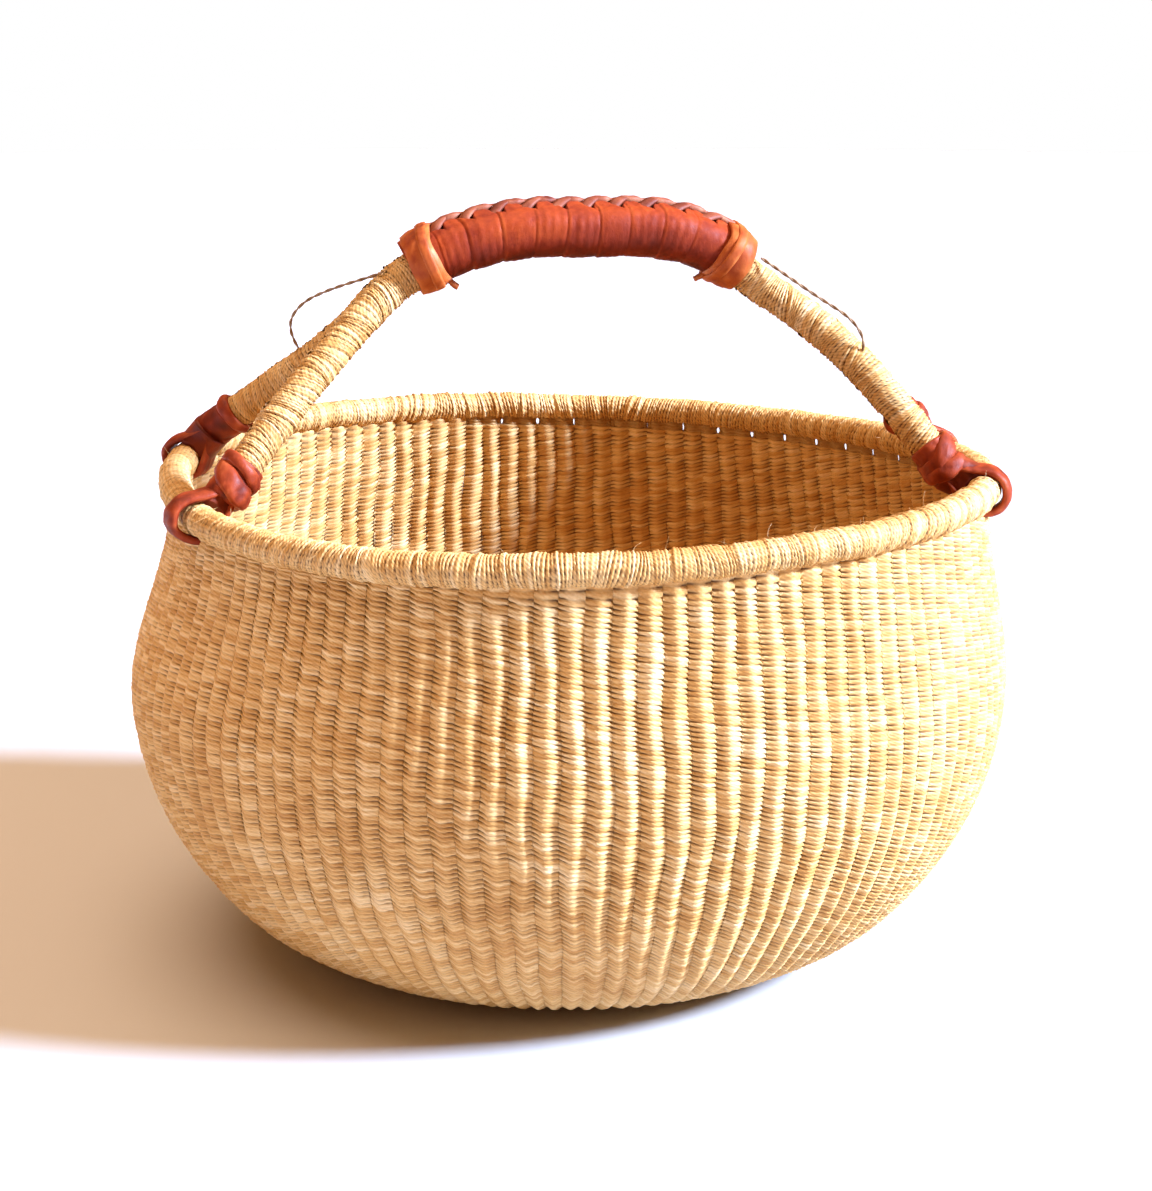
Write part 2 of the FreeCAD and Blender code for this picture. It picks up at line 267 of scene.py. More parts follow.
def finish_piece(piece, body, material, nodes):
    """Gives a piece its material and its CAD body."""
    piece.data.materials.clear()
    piece.data.materials.append(material)
    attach(piece, body)
    if nodes:
        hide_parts(*nodes)
    return piece


def frames_along(points, across=(0.0, 1.0, 0.0)):
    """Tangent, sideways and upward directions along a line; sideways keeps near the given direction."""
    tangent = unit(np.gradient(points, axis=0))
    across = np.broadcast_to(np.asarray(across, float), tangent.shape)
    sideways = unit(across - (across * tangent).sum(1, keepdims=True) * tangent)
    upward = np.cross(tangent, sideways)
    return tangent, sideways, upward


# --- tie cords ---
CORD_ROUTES = {
    "left": [
        (-0.0685, 0.0, 0.3086),
        (-0.084, 0.002, 0.303),
        (-0.104, 0.010, 0.2965),
        (-0.119, 0.018, 0.289),
        (-0.1255, 0.024, 0.277),
        (-0.1203, 0.0279, 0.2675),
    ],
    "right": [
        (0.085, -0.012, 0.3096),
        (0.095, -0.021, 0.3025),
        (0.108, -0.031, 0.2935),
        (0.120, -0.0395, 0.286),
        (0.126, -0.042, 0.2765),
        (0.1252, -0.0392, 0.2703),
    ],
}
CORD_TWIST = 5.5
PLY_RADIUS = 0.4
PLY_OFFSET = 0.36


def cord_line(side):
    """The cord's route as a NURBS line, and the points read from it, in millimetres."""
    curve = bpy.data.curves.new("route_" + side, "CURVE")
    curve.dimensions = "3D"
    curve.resolution_u = 24
    spline = curve.splines.new("NURBS")
    route = CORD_ROUTES[side]
    spline.points.add(len(route) - 1)
    for point, place in zip(spline.points, route):
        point.co = (*place, 1.0)
    spline.order_u = 3
    spline.use_endpoint_u = True
    line = bpy.data.objects.new("route_" + side, curve)
    bpy.context.collection.objects.link(line)
    bpy.context.view_layer.update()
    mesh = bpy.data.meshes.new_from_object(line)
    places = np.array([vertex.co[:] for vertex in mesh.vertices])
    bpy.data.objects.remove(line)
    bpy.data.meshes.remove(mesh)
    return even_points(places / MM, 180)


def make_cord(side):
    """One cord of two plies twisted together."""
    line = cord_line(side)
    _, sideways, upward = frames_along(line, (0.2, 1.0, 0.1))
    step = length_of(line) / (len(line) - 1)
    travelled = np.arange(len(line)) * step
    plies = []
    for ply in (0, 1):
        turn = travelled / (2.0 * CORD_TWIST) * TURN + ply * math.pi
        centre = line + PLY_OFFSET * ring_of(turn, sideways, upward)
        around = np.linspace(0.0, TURN, 10, endpoint=False)
        radius = PLY_RADIUS * (1.0 + wander(travelled, [9.0, 4.0], 31 + ply, 0.12))[:, None, None]
        ring = ring_of(around[None, :], sideways[:, None], upward[:, None])
        points = centre[:, None] + radius * ring
        tone = 0.5 + wander(travelled, [14.0, 5.0], 41 + ply, 0.3)[:, None] * np.ones((1, 10))
        plies.append(grid_piece("ply", points, around=True, caps=True, tone=tone))
    cord = joined("cord_" + side, plies)
    return cord, line


CORDS = {side: make_cord(side) for side in CORD_ROUTES}


# --- the woven body's surface ---
PROFILE = spline_through(WALL_OUTLINE, 1600)
PROFILE_STEPS = np.linalg.norm(np.diff(PROFILE, axis=0), axis=1)
PROFILE_LENGTH = np.concatenate([[0.0], np.cumsum(PROFILE_STEPS)])
PROFILE_TANGENT = unit(np.gradient(PROFILE, axis=0))
STITCH_ROWS = 220
STITCH = rng.random((2, RIBS, STITCH_ROWS))
RIB_SIZE = rng.uniform(0.82, 1.12, RIBS)
RIB_SWAY = rng.uniform(0.0, TURN, (2, RIBS))
rng.random(2 * RIBS)  # spare draws, which keep the later ones in their order
ROW_PHASES = np.array([0.0, 0.26, 0.5, 0.74])


def profile_at(length):
    """Radius, height and outward direction of the wall's outline at a length along it."""
    radius = np.interp(length, PROFILE_LENGTH, PROFILE[:, 0])
    height = np.interp(length, PROFILE_LENGTH, PROFILE[:, 1])
    out_radius = np.interp(length, PROFILE_LENGTH, PROFILE_TANGENT[:, 1])
    out_height = -np.interp(length, PROFILE_LENGTH, PROFILE_TANGENT[:, 0])
    return radius, height, out_radius, out_height


def rim_warp(theta, height):
    """How far the body's top is warped up or down at an angle."""
    return -RIM_WARP * np.sin(2.0 * theta) * smooth_step(90.0, 205.0, height)


def rim_pull(theta):
    """How far the rim is drawn inwards where the handle's left end hangs on it."""
    away = np.angle(np.exp(1j * (theta - RIM_PULL_ANGLE)))
    return -RIM_PULL * np.exp(-((away / RIM_PULL_WIDTH) ** 2))


def body_point(theta, length, outward, thickness=0.0):
    """Points of the wall: an angle, a length up the outline and a distance off the outer surface."""
    radius, height, out_radius, out_height = profile_at(length)
    share = length / PROFILE_LENGTH[-1]
    swell = np.sin(math.pi * np.clip(share, 0.0, 1.0)) ** 1.5
    dent = 0.8 * np.sin(2.0 * theta + 0.7) + 0.6 * np.sin(3.0 * theta + 5.0 * share)
    dent = dent + 0.45 * np.sin(5.0 * theta + 2.0 - 7.0 * share) + 0.3 * np.sin(9.0 * theta + 9.0 * share)
    off = outward - thickness + (dent - 1.2) * 0.75 * swell
    radius = radius + out_radius * off + rim_pull(theta) * smooth_step(110.0, 206.0, height)
    height = height + out_height * off
    height = height + rim_warp(theta, height)
    return polar(radius, theta, height)


def rib_sway(u, length):
    """How far ribs wander sideways, in rib widths."""
    left = np.floor(u).astype(int)
    share = u - left

    def sway(index):
        first = np.sin(length * TURN / 97.0 + RIB_SWAY[0, index % RIBS])
        second = np.sin(length * TURN / 41.0 + RIB_SWAY[1, index % RIBS])
        return 0.07 * first + 0.045 * second

    return sway(left) * (1.0 - share) + sway(left + 1) * share


def row_sway(u, length):
    """How far weft rows wander up and down, in rows."""
    theta = u * TURN / RIBS
    ends = smooth_step(0.0, 30.0, length) * (1.0 - smooth_step(250.0, 290.0, length))
    return ends * (1.1 * np.sin(2.0 * theta + 1.0) + 0.7 * np.sin(5.0 * theta + length / 40.0))


def weave_relief(rib, across, row, phase, side, narrow):
    """Height in millimetres, tone, and painted shade in the grooves and gaps of plump strokes that cross each
    rib and dive in beside it.

    The ribs get shallower by the factor narrow where they are close together.
    """
    index = rib % RIBS
    stroke = STITCH[side, index, row % STITCH_ROWS]
    valley = (rib - (across < 0.0)) % RIBS
    other = STITCH[1 - side, valley, (row + (across < 0.0)) * 7 % STITCH_ROWS]
    arch = 0.5 * (np.cos(TURN * across) - 1.0)
    groove = np.where(phase < 0.05, 1.0, np.where(np.abs(phase - 0.5) < 0.1, 0.0, 0.16))
    ending = smooth_step(0.08, 0.40, np.abs(across))
    gap = groove * ending * smooth_step(0.2, 0.6, other)
    height = RIB_DEPTH * narrow * RIB_SIZE[index] ** (np.abs(across) < 0.49) * arch
    height = height + (stroke - 0.5) * 0.5 * (1.0 - ending) - groove * 0.46 - 0.75 * gap
    # painted shade: darkest in the grooves between rows and where strokes dive in beside a rib
    depth = np.clip((0.30 + 0.34 * other) * groove + 0.70 * gap + 0.08 * ending, 0.0, 1.0)
    return height, stroke, depth


def stroke_fall(across):
    """How far a stroke falls to the right across its rib, in rows; one whole row from valley to valley."""
    return np.interp(across, [-0.5, -0.42, 0.42, 0.5], [0.5, 0.33, -0.33, -0.5])


def skin_piece(name, first_rib, last_rib, columns, phases, inside, top):
    """One sector of the wall's outer or inner skin."""
    ribs = np.repeat(np.arange(first_rib, last_rib), len(columns))
    across = np.tile(columns, last_rib - first_rib)
    top_length = float(np.interp(top, PROFILE[:, 1], PROFILE_LENGTH))
    rows = int(top_length / ROW_PITCH)
    row = np.append(np.repeat(np.arange(rows), len(phases)), rows)
    phase = np.append(np.tile(phases, rows), 0.0)
    rib, row = np.meshgrid(ribs, row)
    across = np.broadcast_to(across, rib.shape)
    phase = np.broadcast_to(phase[:, None], rib.shape)
    u = rib + across
    place = (row + phase) * top_length / rows
    edge = smooth_step(0.0, 8.0, place) * (1.0 - smooth_step(top_length - 6.0, top_length, place))
    length = place + (row_sway(u, place) + stroke_fall(across)) * ROW_PITCH * edge
    narrow = (np.interp(place, PROFILE_LENGTH, PROFILE[:, 0]) / PROFILE[:, 0].max()) ** 1.5
    height, tone, depth = weave_relief(rib, across, row, phase, int(inside), narrow)
    fade = smooth_step(0.0, 5.0, place)
    theta = (u + rib_sway(u, place) * fade) * TURN / RIBS
    if inside:
        points = body_point(theta, length, -height * fade * 0.8, WALL_THICKNESS)
    else:
        points = body_point(theta, length, height * fade)
    ledge = body_point(theta[-1:], length[-1:], np.zeros_like(theta[-1:]), WALL_THICKNESS * 0.5)
    points = np.concatenate([points, ledge], 0)
    tone = np.concatenate([tone, tone[-1:]], 0)
    # the ledge tucked under the rim gets full painted shade
    depth = np.concatenate([depth, np.ones_like(depth[-1:])], 0)
    strand = np.stack([u * TURN / RIBS * 190.0, (row + phase) * ROW_PITCH, u * 0.0 + side_seed(inside)], -1)
    strand = np.concatenate([strand, strand[-1:]], 0)
    return grid_piece(name, points, flip=inside, tone=tone, depth=depth, strand=strand)


def side_seed(inside):
    """A texture offset that keeps the inner skin's grain unlike the outer one's."""
    return 300.0 if inside else 0.0


OUTER_COLUMNS = np.array([-0.5, -0.42, -0.29, -0.15, 0.0, 0.15, 0.29, 0.42, 0.5])
INNER_COLUMNS = np.array([-0.5, -0.36, -0.18, 0.0, 0.18, 0.36, 0.5])
INNER_PHASES = np.array([0.0, 0.35, 0.7])
OPEN_RIBS = (6, 34)
SKIN_TOP = 202.8
TUCKED_TOP = 207.0


def make_skins():
    """The outer and inner skins, in sectors; one sector stops short of the rim, where the lashings show."""
    low, high = OPEN_RIBS
    closed = [(high + (RIBS - high + low) * part // 5, high + (RIBS - high + low) * (part + 1) // 5)
              for part in range(5)]
    pieces = []
    for number, (first, last) in enumerate([(low, high)] + closed):
        top = SKIN_TOP if number == 0 else TUCKED_TOP
        pieces.append(skin_piece("wall_out_%d" % number, first, last, OUTER_COLUMNS, ROW_PHASES, False, top))
        pieces.append(skin_piece("wall_in_%d" % number, first, last, INNER_COLUMNS, INNER_PHASES, True, top))
    return pieces


# --- the base ---
BASE_RIBS = 70
BASE_CENTRE = 5.0


def base_piece(name, top):
    """The base's upper or lower face: rings of strokes over ribs that fan out from the middle."""
    rows = int((BASE_RADIUS - BASE_CENTRE) / ROW_PITCH)
    columns = np.array([-0.5, -0.36, -0.12, 0.12, 0.36])
    u = np.concatenate([rib + columns for rib in range(BASE_RIBS)] + [[BASE_RIBS - 0.5]])
    row = np.append(np.repeat(np.arange(rows), 3), rows)
    phase = np.append(np.tile([0.0, 0.35, 0.7], rows), 0.0)
    u, row = np.meshgrid(u, row)
    phase = np.broadcast_to(phase[:, None], u.shape)
    place = BASE_CENTRE + (row + phase) * (BASE_RADIUS - BASE_CENTRE) / rows
    rib = np.floor(u + 0.5).astype(int)
    height, tone, depth = weave_relief(rib, u - rib, row, phase, int(top), 1.0)
    scale = smooth_step(4.0, 60.0, place) * (1.0 - smooth_step(105.0, 110.0, place))
    relief = height * (0.15 + 0.55 * scale) * (1.0 - smooth_step(107.0, 110.0, place))
    theta = u * TURN / BASE_RIBS
    level = WALL_THICKNESS + relief if top else -relief
    points = polar(place, theta, level)
    points[0, :, :2] *= 0.02
    strand = np.stack([theta * place, place, u * 0.0 + 600.0], -1)
    # the base's grooves and gaps get painted shade, a little weaker than the wall's
    return grid_piece(name, points, flip=not top, tone=tone, depth=depth * 0.8, strand=strand)


# --- lashings between the wall and the rim ---
LASHING_LOW = 199.0
LASHING_HIGH = 208.0


def strap_angle(name):
    """The angle at which a limb's end comes down to the rim."""
    tip = np.array(LIMBS[name][2][-1]) + 1.8 * unit(np.subtract(LIMBS[name][2][-1], LIMBS[name][2][-2]))
    return math.atan2(tip[1], tip[0])


STRAP_WIDTHS = {"front_left": 9.0, "rear_left": 14.0, "front_right": 11.0, "rear_right": 10.0}


def lashing_spans():
    """The angles that each pair of ribs covers under the rim, with room left for the straps."""
    spans = []
    for pair in range(OPEN_RIBS[0] // 2, OPEN_RIBS[1] // 2):
        start = (2 * pair - 0.5) * TURN / RIBS
        spans.append((start, start + 2.0 * TURN / RIBS))
    for name, width in STRAP_WIDTHS.items():
        middle = strap_angle(name) % TURN
        half = (width / 2.0 + 0.5) / RIM_RADIUS
        left = []
        for start, end in spans:
            if end <= middle - half or start >= middle + half:
                left.append((start, end))
                continue
            left += [(start, middle - half), (middle + half, end)]
        spans = [span for span in left if span[1] - span[0] > 3.0 / RIM_RADIUS]
    return spans


def lashing_piece(index, start, end):
    """Two ribs' tops, drawn together as they go up into the rim."""
    rows = np.linspace(0.0, 1.0, 22)
    lap = np.linspace(-1.0, 1.0, 15)
    middle, half = 0.5 * (start + end), 0.5 * (end - start)
    waist = 1.0 - (rng.uniform(-0.1, 1.0) / RIM_RADIUS / half) * np.exp(-((rows - 0.6) / 0.2) ** 2)
    height = LASHING_LOW + (LASHING_HIGH - LASHING_LOW) * rows
    length = np.interp(height, PROFILE[:, 1], PROFILE_LENGTH)
    outline = []
    for side in (1.0, -1.0):
        across = lap * side
        theta = middle + half * across[None, :] * waist[:, None]
        u = theta * RIBS / TURN
        rib = u - np.floor(u + 0.5)
        arch = 0.5 * (np.cos(TURN * rib) - 1.0)
        wale = 0.3 * np.sin(rows * 31.0 + index)[:, None] + 2.0 * arch - 0.5
        bulge = WALL_THICKNESS * 0.5 * (1.0 - np.abs(across) ** 6)[None, :]
        outward = -WALL_THICKNESS * 0.5 + side * (bulge + np.minimum(wale, 0.3) * (bulge > 0.5))
        outline.append(body_point(theta, np.broadcast_to(length[:, None], theta.shape), outward)[:, :-1])
    points = np.concatenate(outline, 1)
    tone = np.broadcast_to(0.3 + 0.4 * rng.random(len(rows))[:, None], points.shape[:2])
    # painted shade over the lashings, deepening upwards towards the underside of the rim
    depth = np.broadcast_to(0.45 + 0.3 * rows[:, None], points.shape[:2])
    strand = points * np.array([1.0, 1.0, 1.6])
    return grid_piece(
        "lashing", points, around=True, caps=True, flip=True, tone=tone, depth=depth, strand=strand,
    )


# --- coiled string over the rim and the arms ---
COIL_ROWS = 4
STRING_TURNS = 11.0
RIM_COILS = 738
RIM_COLUMNS = 61
LIMB_PITCH = 1.45
LIMB_COLUMNS = 57
COIL_PHASES = np.array([0.0, 0.3, 0.5, 0.72])


def coil_relief(count, phase, seed):
    """Height and tone of each turn of string, by its number."""
    source = np.random.default_rng(seed)
    total = int(count.max()) + 2
    heights = source.normal(0.0, 0.2, total)
    heights += (source.random(total) > 0.93) * 0.35
    tones = np.clip(source.normal(0.5, 0.3, total), 0.0, 1.0)
    gaps = source.uniform(0.35, 1.5, total)[count]
    groove = np.where(phase < 0.05, 1.0, np.where(np.abs(phase - 0.5) < 0.1, 0.0, 0.22))
    # the third value, groove depth by row, sets the painted shade in the grooves
    return heights[count] - 0.55 * groove * gaps, tones[count], np.clip(groove * gaps, 0.0, 1.0)


def grains(around, count, seed):
    """The turns of each twisted string, by angle round the bundle: 1 at a turn's crown, 0 between two."""
    starts = np.random.default_rng(seed).uniform(0.0, TURN, int(count.max()) + 2)
    return 0.5 + 0.5 * np.cos(STRING_TURNS * around + starts[count][:, None])


def string_painted_shade(groove, grain):
    """Painted shade on the string: in the grooves between turns, and a little where its own twist dips."""
    return groove[:, None] * (1.15 - 0.75 * grain) + 0.12 * (1.0 - grain) ** 2


def coil_lumps(share, around, seed, size):
    """Slow unevenness of a wrapped bundle; share runs from 0 to 1 along it and closes on itself."""
    source = np.random.default_rng(seed)
    total = np.zeros(np.broadcast(share, around).shape)
    for harmonic in (5, 11, 23, 37, 61, 90):
        start, _ = source.uniform(0.0, TURN, 2)
        lean = source.integers(0, 3)
        total = total + np.sin(share * TURN * harmonic + lean * around + start) / (1.0 + harmonic / 40.0)
    return total * size / 3.2


def wrapped_rim():
    """The rim's string wrap, in three sectors."""
    coils = RIM_COILS
    around = np.linspace(-0.62 * math.pi, 1.38 * math.pi, RIM_COLUMNS)
    row = np.arange(coils * COIL_ROWS + 1)
    count = (row // COIL_ROWS) % coils
    phase = COIL_PHASES[row % COIL_ROWS]
    relief, tones, groove = coil_relief(count, phase, 5)
    around, place = np.meshgrid(around, row // COIL_ROWS + phase)
    share = place / coils
    slant = 2.0 * around / TURN
    for harmonic, size in ((3, 0.8), (8, 0.7), (19, 0.5)):
        slant = slant + size * np.sin(share * TURN * harmonic + harmonic) * np.sin(around)
    for harmonic, size, twist in ((43, 0.30, 1.0), (97, 0.15, -1.0), (139, 0.10, 2.0)):
        slant = slant + size * np.sin(share * TURN * harmonic + twist * around + harmonic)
    theta = (place + slant) / coils * TURN
    lumps = coil_lumps(share, around, 15, 0.75)
    grain = grains(around, count, 8)
    radius = RIM_TUBE - 0.45 + lumps + relief[:, None] + 0.24 * grain
    reach = RIM_RADIUS + rim_pull(theta) + radius * np.cos(around)
    height = RIM_HEIGHT + radius * np.sin(around) + rim_warp(theta, np.full_like(theta, RIM_HEIGHT))
    points = polar(reach, theta, height)
    tone = np.broadcast_to(tones[:, None], theta.shape) + 0.12 * lumps
    depth = string_painted_shade(groove, grain)
    number = np.broadcast_to(count[:, None], theta.shape)
    strand = np.stack([around * RIM_TUBE, place * 1.6, number * 1.7], -1)
    cuts = [coils * COIL_ROWS * part // 3 for part in range(4)]
    pieces = []
    for part in range(3):
        rows = slice(cuts[part], cuts[part + 1] + 1)
        pieces.append(grid_piece(
            "rim_wrap_%d" % part, points[rows], flip=True,
            tone=tone[rows], depth=depth[rows], strand=strand[rows],
        ))
    return pieces


def limb_line(name):
    """The middle line of one limb from the grip's middle to its end, in millimetres."""
    grip, side, free = LIMBS[name]
    corners = [(x, side * ARM_OFFSET, RIM_HEIGHT + height) for x, height in grip]
    corners += [(x, y, RIM_HEIGHT + height) for x, y, height in free]
    other = RIGHT_GRIP if grip is LEFT_GRIP else LEFT_GRIP
    before = [(x, side * ARM_OFFSET, RIM_HEIGHT + height) for x, height in other[1:3]][::-1]
    line = spline_through(before + corners, 1200)
    start = int(np.argmin(np.linalg.norm(line - np.array(corners[0]), axis=1)))
    return even_points(line[start:], 900)


def wrapped_limb(name, seed):
    """One limb's string wrap, closed at the end."""
    line = limb_line(name)
    total = length_of(line)
    coils = int(total / LIMB_PITCH)
    around = np.linspace(-0.5 * math.pi, 1.5 * math.pi, LIMB_COLUMNS)
    row = np.arange(coils * COIL_ROWS + 1)
    count = row // COIL_ROWS
    phase = COIL_PHASES[row % COIL_ROWS]
    relief, tones, groove = coil_relief(count, phase, seed)
    around, place = np.meshgrid(around, count + phase)
    share = place / coils
    slant = 3.0 * (around / TURN - 0.5)
    for harmonic, size in ((2, 1.0), (5, 0.9), (11, 0.6)):
        slant = slant + size * np.sin(share * TURN * harmonic + seed) * np.cos(around + harmonic)
    for harmonic, size, twist in ((9, 0.30, 1.0), (17, 0.18, -1.0), (26, 0.12, 2.0)):
        slant = slant + size * np.sin(share * TURN * harmonic + twist * around + seed)
    ends = smooth_step(0.0, 0.03, share) * (1.0 - smooth_step(0.97, 1.0, share))
    travelled = np.clip((place + slant * ends) / coils, 0.0, 1.0) * total
    spots = np.linspace(0.0, total, len(line))
    _, sideways, upward = frames_along(line, (0.0, 1.0, 0.0))

    def at(values):
        return np.stack([np.interp(travelled, spots, values[:, k]) for k in range(3)], -1)

    lumps = coil_lumps(share * 0.6, around, seed + 3, 0.45)
    slim = 1.5 * (1.0 - smooth_step(64.0, 74.0, travelled))
    grain = grains(around, count, seed + 8)
    radius = (ARM_RADIUS - 0.2 - slim + lumps + relief[:, None] + 0.22 * grain)[..., None]
    ring = ring_of(around, at(sideways), at(upward))
    points = at(line) + radius * ring
    tone = np.broadcast_to(tones[:, None], share.shape) + 0.15 * lumps
    depth = string_painted_shade(groove, grain)
    number = np.broadcast_to(count[:, None], share.shape)
    strand = np.stack([around * ARM_RADIUS, place * LIMB_PITCH, number * 1.7], -1)
    return grid_piece("arm_" + name, points, flip=True, caps=True, tone=tone, depth=depth, strand=strand)


# --- leather ---
LEATHER = 1.8


def wrinkle(points, seed, size, scale=1.0):
    """A slow, folded unevenness of leather at points in millimetres."""
    source = np.random.default_rng(seed)
    total = np.zeros(points.shape[:-1])
    for wave in (17.0, 11.0, 7.5, 5.0, 3.6):
        direction = unit(source.normal(size=3))
        bend = unit(source.normal(size=3))
        place = points @ direction * TURN / (wave * scale)
        twist = 1.3 * np.sin(points @ bend * TURN / (wave * scale * 2.1) + source.uniform(0, TURN))
        total += np.sin(place + twist + source.uniform(0.0, TURN)) * (wave / 17.0) ** 0.7
    return total * size / 2.4


def oval(angle, half_width, half_height, power):
    """A rounded slot outline; the angle starts at the top and goes round."""
    sine, cosine = np.sin(angle), np.cos(angle)
    size = (np.abs(sine / half_width) ** power + np.abs(cosine / half_height) ** power) ** (-1.0 / power)
    return size * sine, size * cosine


def band(name, path, outward, width, thickness, columns=16, closed=False, seed=0, rough=0.25, curl=0.0):
    """A leather band along a path; its flat side faces the outward directions."""
    if closed:
        path, outward = np.vstack([path, path[:1]]), np.vstack([outward, outward[:1]])
        tangent = np.roll(path[:-1], -1, axis=0) - np.roll(path[:-1], 1, axis=0)
        tangent = unit(np.vstack([tangent, tangent[:1]]))
        width = np.append(width, width[0]) if np.ndim(width) else width
    else:
        tangent = unit(np.gradient(path, axis=0))
    outward = unit(outward - (outward * tangent).sum(1, keepdims=True) * tangent)
    sideways = np.cross(tangent, outward)
    count = len(path)
    width = np.broadcast_to(np.asarray(width, float), count)[:, None]
    thickness = np.broadcast_to(np.asarray(thickness, float), count)[:, None]
    angle = np.linspace(0.0, TURN, columns, endpoint=False)[None, :]
    across, lift = oval(angle, width / 2.0, thickness / 2.0, 3.2)
    lift = lift - curl * (across / (width / 2.0)) ** 2
    points = path[:, None] + across[..., None] * sideways[:, None] + lift[..., None] * outward[:, None]
    bump = wrinkle(points, seed + 7, rough)
    if closed:
        bump[-1] = bump[0]
    points = points + bump[..., None] * outward[:, None]
    edge = np.abs(across) / (width / 2.0)
    # tone is lighter where the wrinkles rise and darker in their dips, painted highlight and shade, and paler
    # at the edges
    tone = 0.5 + 0.5 * bump / max(rough, 0.01) * 0.6 + 0.25 * smooth_step(0.75, 1.0, edge)
    # painted shade on the band's inner face, which lies against what it wraps
    depth = smooth_step(0.0, -1.0, lift / thickness) * 0.5
    return grid_piece(name, points, around=True, caps=not closed, tone=tone, depth=depth)


def grip_line():
    """The middle line of the grip between its mouths."""
    left = [(x, 0.0, RIM_HEIGHT + height) for x, height in LEFT_GRIP]
    right = [(x, 0.0, RIM_HEIGHT + height) for x, height in RIGHT_GRIP]
    corners = [(-97.0, 0.0, RIM_HEIGHT + 68.3)] + left[::-1] + right[1:] + [(111.5, 0.0, RIM_HEIGHT + 66.0)]
    line = even_points(spline_through(corners, 1200), 1600)
    keep = (line[:, 0] > -68.6) & (line[:, 0] < 76.0)
    return even_points(line[keep], 420)


GRIP = grip_line()
GRIP_TOTAL = length_of(GRIP)
STITCH_PITCH = 12.6
FOLDS = np.array([-2.0, 13.5, 26.0, 40.5, 55.0, 68.5, 83.0, 96.0, 110.5, 124.0, 139.0, 153.0, 168.0])
NOTCHES = np.arange(16.0, GRIP_TOTAL - 12.0, STITCH_PITCH)


def grip_frames():
    """Directions along the grip's middle line, and that line lifted to the cover's middle."""
    tangent, sideways, upward = frames_along(GRIP, (0.0, 1.0, 0.0))
    return GRIP + GRIP_LIFT * upward, tangent, sideways, upward


def fold_relief(place, angle):
    """Height of the gathers that run round the grip's cover, and a painted highlight along each crest."""
    lean = 1.6 * np.sin(angle * 2.0 + 0.4) + 1.2 * np.cos(angle)
    shifted = place + lean
    index = np.clip(np.searchsorted(FOLDS, shifted, side="right") - 1, 0, len(FOLDS) - 2)
    start, end = FOLDS[index], FOLDS[index + 1]
    share = (shifted - start) / (end - start)
    source = np.random.default_rng(3)
    sizes = source.uniform(0.55, 1.2, len(FOLDS))[index]
    height = 0.8 * sizes * np.sqrt(np.clip(np.sin(math.pi * np.clip(share, 0.0, 1.0) ** 0.75), 0.0, 1.0))
    crest = np.exp(-((share - 0.07) / 0.05) ** 2)
    height = height + 0.12 * sizes * crest
    fine = 0.07 * np.sin(shifted * TURN / 3.7 + 2.0 * np.sin(angle)) * np.cos(angle + index)
    return height + fine, crest * sizes


def make_grip_cover():
    """The grip's gathered leather cover."""
    middle, _, sideways, upward = grip_frames()
    place = np.linspace(0.0, GRIP_TOTAL, len(middle))[:, None]
    angle = np.linspace(0.0, TURN, 112, endpoint=False)[None, :]
    place, angle = np.broadcast_arrays(place, angle)
    height, crest = fold_relief(place, angle)
    across, lift = oval(angle, GRIP_HALF_WIDTH - 0.9, GRIP_HALF_HEIGHT - 0.9, 2.5)
    out = unit(np.stack([across / GRIP_HALF_WIDTH**2, lift / GRIP_HALF_HEIGHT**2], -1))
    front = np.where(across < 0.0, 1.0, 0.0) * (lift > 0.0)
    nearest = NOTCHES[np.argmin(np.abs(place[..., None] - NOTCHES), -1)]
    below = np.clip(-across, 0.0, 30.0)
    lean = (place - nearest) - (below - 3.0) * 0.45
    wedge = np.clip(1.0 - np.abs(lean) / (4.4 * np.clip(1.0 - (below - 2.0) / 8.0, 0.05, 1.0)), 0.0, 1.0)
    notch = front * smooth_step(0.0, 0.5, wedge) * smooth_step(11.0, 8.0, below)
    height = height - 2.0 * notch + 1.0 * smooth_step(7.0, 2.0, np.abs(across)) * (lift > 0.0) * (1.0 - notch)
    across = across + out[..., 0] * height
    lift = lift + out[..., 1] * height - 1.1 * smooth_step(2.0, -9.0, lift)
    points = middle[:, None] + across[..., None] * sideways[:, None] + lift[..., None] * upward[:, None]
    bump = wrinkle(points, 21, 0.22)
    points = points + bump[..., None] * (
        out[..., :1] * sideways[:, None] + out[..., 1:] * upward[:, None]
    )
    # tone: painted highlight on the gathers' crests, lighter rises and darker dips of the wrinkles, and
    # painted shade on the underside
    under = smooth_step(0.3, -1.0, lift / GRIP_HALF_HEIGHT)
    tone = 0.45 + 0.2 * crest + 0.5 * bump - 0.45 * under
    # painted shadow in the notches under the lacing
    return grid_piece("grip_cover", points, around=True, caps=True, flip=True, tone=tone, depth=notch)


